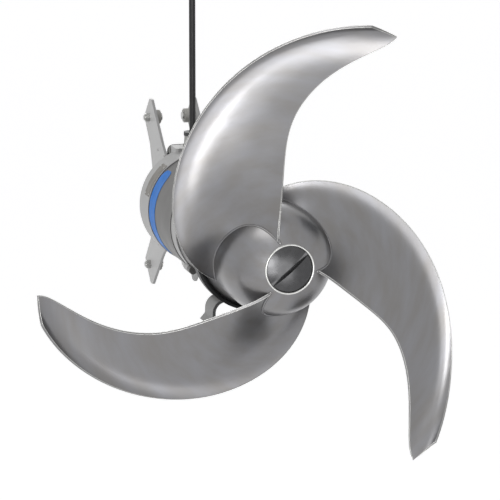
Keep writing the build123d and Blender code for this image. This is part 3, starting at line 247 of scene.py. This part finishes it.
class MixerStage(bpy.types.PropertyGroup):
    """Camera, floor and surroundings."""

    camera_place: bpy.props.FloatVectorProperty(
        name="Camera place", description="Where the camera stands",
        default=(-2.500, -9.0583, 1.8832), unit="LENGTH", subtype="TRANSLATION")
    azimuth: bpy.props.FloatProperty(
        name="Azimuth", description="Camera's turn round the object from the front",
        default=math.radians(-16.776), subtype="ANGLE")
    elevation: bpy.props.FloatProperty(
        name="Elevation", description="Camera's height above the horizon",
        default=math.radians(12.426), subtype="ANGLE")
    lens: bpy.props.FloatProperty(
        name="Lens", description="Focal length in millimetres on a 36 mm sensor",
        default=223.34, unit="CAMERA")
    floor_drop: bpy.props.FloatProperty(
        name="Floor drop", description="Gap from the lowest blade tip to the floor",
        default=2.45, unit="LENGTH", subtype="DISTANCE")
    floor_colour: bpy.props.FloatVectorProperty(
        name="Floor", description="Paint of the floor",
        subtype="COLOR", default=(0.8, 0.8, 0.8), min=0, max=1)
    floor_glow: bpy.props.FloatVectorProperty(
        name="Floor glow", description="What the floor adds where the camera or steel sees it",
        subtype="COLOR", default=(0.66, 0.66, 0.66), min=0, max=1)
    surroundings: bpy.props.FloatVectorProperty(
        name="Surroundings", description="Even light from all round",
        subtype="COLOR", default=(0.37, 0.37, 0.38), min=0, max=1)
    card_grey: bpy.props.FloatVectorProperty(
        name="Cards", description="Grey of the cards that the steel reflects",
        subtype="COLOR", default=(0.2, 0.2, 0.2), min=0, max=1)


# Finishes


class Finish:
    """A node material under construction, with patterns in the object's own metres."""

    def __init__(self, name, colour, metallic=0.0, roughness=0.5):
        self.material = bpy.data.materials.new(name)
        self.material.use_nodes = True
        self.material.diffuse_color = (*colour, 1)
        self.nodes = self.material.node_tree.nodes
        self.links = self.material.node_tree.links
        self.colour = colour
        self.roughness = roughness
        self.shader = self.nodes["Principled BSDF"]
        self.shader.inputs["Base Color"].default_value = (*colour, 1)
        self.shader.inputs["Metallic"].default_value = metallic
        self.shader.inputs["Roughness"].default_value = roughness
        self.place = self.nodes.new("ShaderNodeTexCoord").outputs["Object"]

    def pattern(self, place, scale, detail):
        """Soft noise over places, from 0 to 1."""
        texture = self.nodes.new("ShaderNodeTexNoise")
        texture.inputs["Scale"].default_value = scale
        texture.inputs["Detail"].default_value = detail
        self.links.new(place, texture.inputs["Vector"])
        return texture.outputs["Fac"]

    def noise(self, scale, detail, fineness=(1, 1, 1)):
        """Soft noise, with its fineness along each axis."""
        mapping = self.nodes.new("ShaderNodeMapping")
        mapping.inputs["Scale"].default_value = fineness
        self.links.new(self.place, mapping.inputs["Vector"])
        return self.pattern(mapping.outputs["Vector"], scale, detail)

    def streaks(self, turns, rings, detail):
        """Soft noise drawn out along circles round the propeller's axis."""
        split = self.nodes.new("ShaderNodeSeparateXYZ")
        self.links.new(self.place, split.inputs["Vector"])
        flat = self.nodes.new("ShaderNodeCombineXYZ")
        self.links.new(split.outputs["X"], flat.inputs["X"])
        self.links.new(split.outputs["Z"], flat.inputs["Y"])
        reach = self.nodes.new("ShaderNodeVectorMath")
        reach.operation = "LENGTH"
        self.links.new(flat.outputs["Vector"], reach.inputs[0])
        facing = self.nodes.new("ShaderNodeVectorMath")
        facing.operation = "NORMALIZE"
        self.links.new(flat.outputs["Vector"], facing.inputs[0])
        wide = self.nodes.new("ShaderNodeVectorMath")
        wide.operation = "SCALE"
        wide.inputs["Scale"].default_value = turns
        self.links.new(facing.outputs["Vector"], wide.inputs[0])
        fine = self.nodes.new("ShaderNodeMath")
        fine.operation = "MULTIPLY"
        fine.inputs[1].default_value = rings
        self.links.new(reach.outputs["Value"], fine.inputs[0])
        stack = self.nodes.new("ShaderNodeCombineXYZ")
        self.links.new(fine.outputs["Value"], stack.inputs["Z"])
        drawn = self.nodes.new("ShaderNodeVectorMath")
        drawn.operation = "ADD"
        self.links.new(wide.outputs["Vector"], drawn.inputs[0])
        self.links.new(stack.outputs["Vector"], drawn.inputs[1])
        return self.pattern(drawn.outputs["Vector"], 1.0, detail)

    def tint(self, value, darker, lighter, warm=(1, 1, 1), cool=(1, 1, 1)):
        """Colour that wanders between a darker, warmer and a lighter, cooler base colour."""
        ramp = self.nodes.new("ShaderNodeValToRGB")
        stops = ((NOISE_LOW, darker, warm), (NOISE_HIGH, lighter, cool))
        for element, (position, level, cast) in zip(ramp.color_ramp.elements, stops):
            element.position = position
            element.color = (*(part * level * share for part, share in zip(self.colour, cast)), 1)
        self.links.new(value, ramp.inputs["Fac"])
        self.links.new(ramp.outputs["Color"], self.shader.inputs["Base Color"])

    def gloss(self, value, spread):
        """Roughness that wanders round its mean."""
        rough = self.nodes.new("ShaderNodeMapRange")
        rough.inputs["From Min"].default_value = NOISE_LOW
        rough.inputs["From Max"].default_value = NOISE_HIGH
        rough.inputs["To Min"].default_value = self.roughness - spread
        rough.inputs["To Max"].default_value = self.roughness + spread
        self.links.new(value, rough.inputs["Value"])
        self.links.new(rough.outputs["Result"], self.shader.inputs["Roughness"])

    def grain(self, value, depth, strength):
        """Relief with its depth in metres, over any relief made before it."""
        bump = self.nodes.new("ShaderNodeBump")
        for link in list(self.shader.inputs["Normal"].links):
            self.links.new(link.from_socket, bump.inputs["Normal"])
        bump.inputs["Distance"].default_value = depth
        bump.inputs["Strength"].default_value = strength
        self.links.new(value, bump.inputs["Height"])
        self.links.new(bump.outputs["Normal"], self.shader.inputs["Normal"])


def brushed_metal(name, colour, roughness):
    """Brushed metal: streaks and shallow waves round the axis, and a fine grain along it."""
    finish = Finish(name, colour, metallic=1.0, roughness=roughness)
    finish.tint(
        finish.streaks(turns=3, rings=26, detail=4), darker=0.92, lighter=1.08,
        warm=(1.02, 1.0, 0.975), cool=(0.98, 0.993, 1.035))
    finish.gloss(finish.noise(scale=9, detail=3), spread=0.04)
    finish.grain(finish.streaks(turns=3, rings=18, detail=1), depth=0.0007, strength=0.5)
    lines = finish.noise(scale=900, detail=2, fineness=(1, 0.25, 1))
    finish.grain(lines, depth=0.00006, strength=0.25)
    return finish.material


def machined_metal(name, colour, roughness):
    """Turned or rolled metal with tool marks across the axis."""
    finish = Finish(name, colour, metallic=1.0, roughness=roughness)
    finish.tint(finish.noise(scale=60, detail=3), darker=0.9, lighter=1.08)
    finish.gloss(finish.noise(scale=40, detail=2), spread=0.05)
    marks = finish.noise(scale=1500, detail=1, fineness=(0.2, 1, 0.2))
    finish.grain(marks, depth=0.00004, strength=0.3)
    return finish.material


def coated_metal(name, colour, roughness):
    """Sprayed coat over metal: slight orange peel, faint stains."""
    finish = Finish(name, colour, metallic=0.1, roughness=roughness)
    finish.tint(finish.noise(scale=7, detail=5), darker=0.95, lighter=1.05)
    finish.gloss(finish.noise(scale=14, detail=3), spread=0.05)
    finish.grain(finish.noise(scale=420, detail=2), depth=0.0001, strength=0.18)
    return finish.material


def moulded(name, colour, roughness, shine=SHINE):
    """Moulded plastic or rubber with a fine skin."""
    finish = Finish(name, colour, roughness=roughness)
    finish.shader.inputs["Specular IOR Level"].default_value = shine
    finish.tint(finish.noise(scale=30, detail=3), darker=0.9, lighter=1.12)
    finish.gloss(finish.noise(scale=25, detail=3), spread=0.05)
    finish.grain(finish.noise(scale=1100, detail=2), depth=0.00005, strength=0.3)
    return finish.material


# Finish of each slot of the record: how it is made, its name, its colour setting, its
# roughness, and its shine where that is less than usual
RECIPES = {
    "steel": (brushed_metal, "Satin stainless steel", "steel", 0.32),
    "bright_steel": (machined_metal, "Bright steel", "bright_steel", 0.28),
    "gear_steel": (machined_metal, "Ground gear steel", "gear_steel", 0.32),
    "core_iron": (machined_metal, "Stacked core iron", "core_iron", 0.5),
    "magnet": (machined_metal, "Sintered magnet", "magnets", 0.4),
    "copper": (machined_metal, "Varnished copper", "copper", 0.35),
    "cap_black": (machined_metal, "Blackened cap", "cap", 0.27),
    "seal_carbide": (moulded, "Lapped seal face", "seal_faces", 0.15),
    "housing_grey": (coated_metal, "Housing grey coat", "housing", 0.45),
    "casing_light": (coated_metal, "Light grey coat", "casing", 0.42),
    "bracket_grey": (coated_metal, "Pickled stainless plate", "bracket", 0.40),
    "ring_black": (moulded, "Black deflector ring", "black", 0.5),
    "rubber": (moulded, "Seal rubber", "rubber", 0.6),
    "terminal_plastic": (moulded, "Terminal plastic", "terminals", 0.45),
    "band_blue": (moulded, "Blue film", "band", 0.5, DULL_SHINE),
    "plate_metal": (machined_metal, "Etched data plate", "data_plate", 0.4),
    "gland_metal": (machined_metal, "Gland metal", "gland", 0.38),
    "gland_black": (moulded, "Black gland nut", "black", 0.45),
    "cable_rubber": (moulded, "Cable sheath rubber", "rubber", 0.42, DULL_SHINE),
    "clamp_steel": (machined_metal, "Clamp steel", "bright_steel", 0.35),
    "bail_steel": (machined_metal, "Dull bail steel", "bail", 0.45),
    "roller_plastic": (moulded, "Roller plastic", "rollers", 0.5),
}
FOOT_RECIPE = (coated_metal, "Foot steel", "foot", 0.42)
FOOT_NODES = ("support_foot", "foot_screws")

finishes = {}


def make_finish(colours, kind, name, colour, *settings):
    """One finish, in the colour that its setting holds."""
    return kind(name, tuple(getattr(colours, colour)), *settings)


class MIXER_OT_finishes(bpy.types.Operator):
    """Give every part its finish"""

    bl_idname = "mixer.finishes"
    bl_label = "Finishes"

    def execute(self, context):
        colours = context.scene.mixer_colours
        for slot, recipe in RECIPES.items():
            finishes[slot] = make_finish(colours, *recipe)
        foot_finish = make_finish(colours, *FOOT_RECIPE)
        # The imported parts' own materials are named after their slots
        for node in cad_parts.values():
            for held in node.material_slots:
                held.material = finishes[held.material.name.split(".")[0]]
        for node in FOOT_NODES:
            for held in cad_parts[node].material_slots:
                held.material = foot_finish
        clear_selection()
        return {"FINISHED"}


# Pieces


def clear_selection():
    """Leave nothing selected, in object mode."""
    if bpy.context.object and bpy.context.object.mode != "OBJECT":
        bpy.ops.object.mode_set(mode="OBJECT")
    bpy.ops.object.select_all(action="DESELECT")


def select_only(piece):
    """Select one piece alone and make it active."""
    clear_selection()
    piece.select_set(True)
    bpy.context.view_layer.objects.active = piece


def finished(piece, name, body, slot):
    """Name a new piece, put its place into its mesh and let it ride on its body."""
    select_only(piece)
    bpy.ops.object.transform_apply(location=True, rotation=True, scale=True)
    piece.name = name
    piece.data.name = name
    piece.data.materials.clear()
    piece.data.materials.append(finishes[slot])
    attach(piece, body)
    clear_selection()


def joined(pieces):
    """Several like pieces as one."""
    select_only(pieces[0])
    for piece in pieces[1:]:
        piece.select_set(True)
    bpy.ops.object.join()
    return bpy.context.object


def copied(piece, count):
    """A piece and copies of it, each with its own mesh."""
    pieces = [piece]
    while len(pieces) < count:
        select_only(piece)
        bpy.ops.object.duplicate()
        pieces.append(bpy.context.object)
    return pieces


def tube(points, radius, closed=False):
    """A smooth round bead along points, as a mesh."""
    clear_selection()
    bpy.ops.curve.primitive_bezier_curve_add()
    bead = bpy.context.object
    curve = bead.data
    curve.splines.clear()
    spline = curve.splines.new("NURBS")
    spline.points.add(len(points) - 1)
    for point, place in zip(spline.points, points):
        point.co = (*place, 1)
    spline.order_u = 3
    spline.use_cyclic_u = closed
    spline.use_endpoint_u = not closed
    spline.resolution_u = BEAD_STEPS
    curve.bevel_depth = radius
    curve.bevel_resolution = BEAD_ROUND
    curve.use_fill_caps = not closed
    bpy.ops.object.convert(target="MESH")
    bpy.ops.object.shade_smooth()
    return bpy.context.object


class MIXER_OT_cable(bpy.types.Operator):
    """Lay the cable straight up from its gland to its clamp"""

    bl_idname = "mixer.cable"
    bl_label = "Cable"

    def execute(self, context):
        diameter = context.scene.mixer_sizes.cable_diameter
        x, y = 0.0, ((cable_low + cable_high) / 2).y
        start, end = cable_low.z, cable_high.z
        near, far = CABLE_STRAIGHTS
        heights = [start, start + near, start + far, (start + end) / 2, end - far, end - near, end]
        curve = bpy.data.curves.new("cable_sheath", "CURVE")
        curve.dimensions = "3D"
        spline = curve.splines.new("NURBS")
        spline.points.add(len(heights) - 1)
        for point, height in zip(spline.points, heights):
            point.co = (x, y, height, 1)
        spline.order_u = 3
        spline.use_endpoint_u = True
        curve.bevel_depth = diameter / 2
        curve.bevel_resolution = CABLE_ROUND
        curve.use_fill_caps = True
        sheath = bpy.data.objects.new("cable_sheath", curve)
        context.scene.collection.objects.link(sheath)
        curve.materials.append(finishes["cable_rubber"])
        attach(sheath, "casing")
        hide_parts("power_cable")
        return {"FINISHED"}


def root_outline(number, hub):
    """Points round a blade's root, on the hub."""
    near = []
    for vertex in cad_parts[f"blade_{number}"].data.vertices:
        if hub.closest_point_on_mesh(vertex.co, distance=ROOT_REACH)[0]:
            near.append(vertex.co)
    near = np.array(near)
    facing = np.arctan2(near[:, 2].mean(), near[:, 0].mean())
    turned = (np.arctan2(near[:, 2], near[:, 0]) - facing + np.pi) % (2 * np.pi) - np.pi
    middle_line = np.polyfit(turned, near[:, 1], ROOT_DEGREE)
    behind = near[:, 1] > np.polyval(middle_line, turned)
    spread = np.linspace(turned.min(), turned.max(), ROOT_POINTS)
    outline = []
    for side, angles in ((behind, spread), (~behind, spread[::-1])):
        line = np.polyfit(turned[side], near[side, 1], ROOT_DEGREE)
        for angle, along in zip(angles, np.polyval(line, angles)):
            outward = Vector((math.cos(angle + facing), 0, math.sin(angle + facing)))
            start = outward * HUB_OUTSIDE + Vector((0, along, 0))
            hit, spot, _, _ = hub.ray_cast(start, -outward)
            if hit:
                outline.append(spot)
    return outline


class MIXER_OT_blade_welds(bpy.types.Operator):
    """Run a weld bead round the root of each blade"""

    bl_idname = "mixer.blade_welds"
    bl_label = "Blade welds"

    def execute(self, context):
        radius = context.scene.mixer_sizes.weld_radius
        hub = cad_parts["propeller_hub"]
        beads = [tube(root_outline(number, hub), radius, closed=True) for number in BLADES]
        finished(joined(beads), "blade_welds", "propeller", "steel")
        return {"FINISHED"}


def ground_edges(node, radius):
    """Round bars along the sharp edges of a part."""
    copy = bpy.data.objects.new("edge_copy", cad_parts[node].data.copy())
    bpy.context.scene.collection.objects.link(copy)
    select_only(copy)
    bpy.ops.object.mode_set(mode="EDIT")
    bpy.ops.mesh.select_mode(type="EDGE")
    bpy.ops.mesh.select_all(action="SELECT")
    bpy.ops.mesh.remove_doubles(threshold=MERGE_REACH)
    bpy.ops.mesh.select_all(action="DESELECT")
    bpy.ops.mesh.edges_select_sharp(sharpness=SHARP_ANGLE)
    bpy.ops.mesh.duplicate()
    bpy.ops.mesh.separate(type="SELECTED")
    bpy.ops.object.mode_set(mode="OBJECT")
    lines = [each for each in bpy.context.selected_objects if each is not copy][0]
    bpy.data.objects.remove(copy)
    select_only(lines)
    bpy.ops.object.convert(target="CURVE")
    curve = bpy.context.object.data
    curve.bevel_depth = radius
    curve.bevel_resolution = EDGE_ROUND
    bpy.ops.object.convert(target="MESH")
    bpy.ops.object.shade_smooth()
    return bpy.context.object


class MIXER_OT_blade_edges(bpy.types.Operator):
    """Round off the edges of the blades"""

    bl_idname = "mixer.blade_edges"
    bl_label = "Blade edges"

    def execute(self, context):
        radius = context.scene.mixer_sizes.edge_radius
        edges = [ground_edges(f"blade_{number}", radius) for number in BLADES]
        finished(joined(edges), "blade_edges", "propeller", "bright_steel")
        return {"FINISHED"}


class MIXER_OT_nose_ring(bpy.types.Operator):
    """Lay the rolled lip round the nose cap"""

    bl_idname = "mixer.nose_ring"
    bl_label = "Nose ring"

    def execute(self, context):
        hub_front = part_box("propeller_hub")[0].y
        clear_selection()
        bpy.ops.mesh.primitive_circle_add(
            vertices=LIP_ROUND, radius=context.scene.mixer_sizes.lip_radius,
            location=(LIP_RING_RADIUS, hub_front, 0))
        bpy.ops.object.mode_set(mode="EDIT")
        bpy.ops.mesh.select_all(action="SELECT")
        bpy.ops.mesh.spin(
            steps=LIP_STEPS, angle=2 * math.pi, center=(0, hub_front, 0), axis=(0, 1, 0))
        bpy.ops.mesh.select_all(action="SELECT")
        bpy.ops.mesh.remove_doubles(threshold=MERGE_REACH)
        bpy.ops.mesh.normals_make_consistent(inside=False)
        bpy.ops.object.mode_set(mode="OBJECT")
        bpy.ops.object.shade_smooth()
        finished(bpy.context.object, "nose_ring", "propeller", "bright_steel")
        return {"FINISHED"}


class MIXER_OT_bracket_welds(bpy.types.Operator):
    """Weld the side plates to the mounting plate"""

    bl_idname = "mixer.bracket_welds"
    bl_label = "Bracket welds"

    def execute(self, context):
        radius = context.scene.mixer_sizes.bracket_weld
        plate_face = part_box("mounting_plate")[1].y
        heights = np.linspace(*WELD_HEIGHTS, WELD_POINTS)
        sides = [corner.x for node in SIDE_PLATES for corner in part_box(node)]
        line = [(0, plate_face, height) for height in heights]
        beads = copied(tube(line, radius), len(sides))
        for bead, x in zip(beads, sides):
            bead.location.x = x
        finished(joined(beads), "bracket_welds", "casing", "bracket_grey")
        return {"FINISHED"}


def circle(radius, along):
    """Points of a circle round the shaft's axis."""
    angles = np.linspace(0, 2 * np.pi, SEAM_POINTS, endpoint=False)
    return [(radius * math.cos(angle), along, radius * math.sin(angle)) for angle in angles]


class MIXER_OT_casing_seams(bpy.types.Operator):
    """Lay a dark sealing bead into the joints between the casings"""

    bl_idname = "mixer.casing_seams"
    bl_label = "Casing seams"

    def execute(self, context):
        radius = context.scene.mixer_sizes.seam_radius
        housing_low, housing_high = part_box("motor_housing")
        flange_low, flange_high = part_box("motor_flange")
        gearcase_low, gearcase_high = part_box("gear_housing")
        joints = (
            (housing_high.x, housing_high.y),
            (flange_high.x, housing_low.y),
            (GEARCASE_OUTSIDE, flange_low.y),
            (gearcase_high.x, gearcase_low.y),
        )
        beads = [tube(circle(reach, along), radius, closed=True) for reach, along in joints]
        finished(joined(beads), "casing_seams", "casing", "rubber")
        return {"FINISHED"}


def rivet_head(radius):
    """One domed rivet head at the origin, facing up."""
    clear_selection()
    bpy.ops.mesh.primitive_cylinder_add(
        vertices=RIVET_SIDES, radius=radius, depth=radius * RIVET_HEIGHT)
    bpy.ops.object.mode_set(mode="EDIT")
    bpy.ops.mesh.select_all(action="SELECT")
    bpy.ops.mesh.bevel(offset=radius * RIVET_ROUNDING, segments=RIVET_STEPS, affect="EDGES")
    bpy.ops.object.mode_set(mode="OBJECT")
    return bpy.context.object


class MIXER_OT_plate_rivets(bpy.types.Operator):
    """Rivet the data plate at its corners"""

    bl_idname = "mixer.plate_rivets"
    bl_label = "Plate rivets"

    def execute(self, context):
        sizes = context.scene.mixer_sizes
        inset = sizes.rivet_inset
        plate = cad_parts["data_plate"]
        low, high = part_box("data_plate")
        corners = [
            (along, height)
            for along in (low.y + inset, high.y - inset)
            for height in (low.z + inset, high.z - inset)
        ]
        rivets = copied(rivet_head(sizes.rivet_radius), len(corners))
        for head, (along, height) in zip(rivets, corners):
            start = Vector((2 * low.x, along, height))
            hit, spot, outward, _ = plate.ray_cast(start, Vector((1, 0, 0)))
            if not hit:
                raise RuntimeError("A rivet misses the data plate")
            head.rotation_mode = "QUATERNION"
            head.rotation_quaternion = outward.to_track_quat("Z", "Y")
            head.location = spot
        finished(joined(rivets), "plate_rivets", "casing", "bright_steel")
        return {"FINISHED"}


# Stage


def backdrop_rays(nodes, links):
    """1 for the rays that show the backdrop: from the camera, or by way of metal or glass."""
    path = nodes.new("ShaderNodeLightPath")
    total = path.outputs["Is Camera Ray"]
    for ray in ("Is Glossy Ray", "Is Transmission Ray"):
        either = nodes.new("ShaderNodeMath")
        either.operation = "MAXIMUM"
        links.new(total, either.inputs[0])
        links.new(path.outputs[ray], either.inputs[1])
        total = either.outputs["Value"]
    return total


def face_aim(stand, place, front):
    """Stand a card or a light at its place, with its front towards the mixer."""
    stand.location = place
    stand.rotation_mode = "QUATERNION"
    stand.rotation_quaternion = (AIM - Vector(place)).to_track_quat(front, "Y")


class MIXER_OT_stage(bpy.types.Operator):
    """Set up the floor, the light and the camera"""

    bl_idname = "mixer.stage"
    bl_label = "Stage"

    def execute(self, context):
        stage = context.scene.mixer_stage
        context.scene.view_settings.view_transform = "Standard"
        self.add_camera(context, stage)
        self.add_world(context, stage)
        self.add_floor(stage)
        self.add_cards(stage)
        self.add_lights(context)
        return {"FINISHED"}

    def add_camera(self, context, stage):
        """Camera at the photograph's angle."""
        data = bpy.data.cameras.new("camera")
        data.lens = stage.lens
        data.sensor_width = SENSOR_WIDTH
        data.clip_end = CLIP_END
        camera = bpy.data.objects.new("camera", data)
        camera.location = stage.camera_place
        camera.rotation_euler = (math.pi / 2 - stage.elevation, 0, stage.azimuth)
        context.scene.collection.objects.link(camera)
        context.scene.camera = camera

    def add_world(self, context, stage):
        """White behind the object and in its reflections, and a plain grey as light."""
        world = bpy.data.worlds.new("studio")
        world.use_nodes = True
        nodes, links = world.node_tree.nodes, world.node_tree.links
        lighting = nodes["Background"]
        lighting.inputs["Color"].default_value = (*stage.surroundings, 1)
        backdrop = nodes.new("ShaderNodeBackground")
        backdrop.inputs["Color"].default_value = (1, 1, 1, 1)
        mix = nodes.new("ShaderNodeMixShader")
        links.new(backdrop_rays(nodes, links), mix.inputs["Fac"])
        links.new(lighting.outputs["Background"], mix.inputs[1])
        links.new(backdrop.outputs["Background"], mix.inputs[2])
        links.new(mix.outputs["Shader"], nodes["World Output"].inputs["Surface"])
        context.scene.world = world

    def add_floor(self, stage):
        """Pale floor far under the hanging mixer."""
        clear_selection()
        bpy.ops.mesh.primitive_plane_add(
            size=FLOOR_SIZE, location=(0, 0, cad_low.z - stage.floor_drop))
        floor = bpy.context.object
        floor.name = "floor"
        material = bpy.data.materials.new("Pale floor")
        material.use_nodes = True
        nodes, links = material.node_tree.nodes, material.node_tree.links
        paint = nodes["Principled BSDF"]
        paint.inputs["Base Color"].default_value = (*stage.floor_colour, 1)
        paint.inputs["Roughness"].default_value = FLOOR_ROUGHNESS
        glow = nodes.new("ShaderNodeEmission")
        glow.inputs["Color"].default_value = (*stage.floor_glow, 1)
        add = nodes.new("ShaderNodeAddShader")
        links.new(backdrop_rays(nodes, links), glow.inputs["Strength"])
        links.new(paint.outputs["BSDF"], add.inputs[0])
        links.new(glow.outputs["Emission"], add.inputs[1])
        links.new(add.outputs["Shader"], nodes["Material Output"].inputs["Surface"])
        floor.data.materials.append(material)

    def add_cards(self, stage):
        """Dark cards at the right, seen only in the steel."""
        material = bpy.data.materials.new("Dark card")
        material.use_nodes = True
        paint = material.node_tree.nodes["Principled BSDF"]
        paint.inputs["Base Color"].default_value = (*stage.card_grey, 1)
        paint.inputs["Specular IOR Level"].default_value = 0.0
        for name, place, size in CARDS:
            clear_selection()
            bpy.ops.mesh.primitive_plane_add(size=size)
            card = bpy.context.object
            card.name = name
            face_aim(card, place, "Z")
            card.visible_camera = False
            card.visible_diffuse = False
            card.visible_shadow = False
            card.data.materials.append(material)

    def add_lights(self, context):
        """Softboxes in front, above and behind, and a fill at the left, unseen themselves."""
        for name, place, size, radiance, lit in LIGHTS:
            lamp = bpy.data.lights.new(name, "AREA")
            lamp.shape = "RECTANGLE"
            lamp.size, lamp.size_y = size
            lamp.energy = radiance * math.pi * size[0] * size[1]
            light = bpy.data.objects.new(name, lamp)
            face_aim(light, place, "-Z")
            light.visible_camera = False
            light.visible_diffuse = lit != "gloss"
            light.visible_glossy = lit != "colour"
            context.scene.collection.objects.link(light)


# Panel and registration


class MIXER_PT_panel(bpy.types.Panel):
    """Sidebar panel that lists the settings and the steps"""

    bl_label = "Submersible mixer"
    bl_space_type = "VIEW_3D"
    bl_region_type = "UI"
    bl_category = "Mixer"

    def draw(self, context):
        scene = context.scene
        groups = (
            ("Colours", scene.mixer_colours),
            ("Sizes", scene.mixer_sizes),
            ("Stage", scene.mixer_stage),
        )
        for heading, settings in groups:
            column = self.layout.column()
            column.label(text=heading)
            for name in settings.bl_rna.properties.keys():
                if name not in ("rna_type", "name"):
                    column.prop(settings, name)
        for step in STEPS:
            self.layout.operator(step.bl_idname)


STEPS = (
    MIXER_OT_finishes,
    MIXER_OT_cable,
    MIXER_OT_blade_welds,
    MIXER_OT_blade_edges,
    MIXER_OT_nose_ring,
    MIXER_OT_bracket_welds,
    MIXER_OT_casing_seams,
    MIXER_OT_plate_rivets,
    MIXER_OT_stage,
)
CLASSES = (MixerColours, MixerSizes, MixerStage, *STEPS, MIXER_PT_panel)


def register():
    """Make the settings, the steps and the panel known to Blender."""
    for each in CLASSES:
        bpy.utils.register_class(each)
    bpy.types.Scene.mixer_colours = bpy.props.PointerProperty(type=MixerColours)
    bpy.types.Scene.mixer_sizes = bpy.props.PointerProperty(type=MixerSizes)
    bpy.types.Scene.mixer_stage = bpy.props.PointerProperty(type=MixerStage)


def unregister():
    """Take them away again."""
    del bpy.types.Scene.mixer_stage
    del bpy.types.Scene.mixer_sizes
    del bpy.types.Scene.mixer_colours
    for each in reversed(CLASSES):
        bpy.utils.unregister_class(each)


def main():
    """Add everything in order."""
    register()
    bpy.ops.mixer.finishes()
    bpy.ops.mixer.cable()
    bpy.ops.mixer.blade_welds()
    bpy.ops.mixer.blade_edges()
    bpy.ops.mixer.nose_ring()
    bpy.ops.mixer.bracket_welds()
    bpy.ops.mixer.casing_seams()
    bpy.ops.mixer.plate_rivets()
    bpy.ops.mixer.stage()


if __name__ == "__main__":
    main()
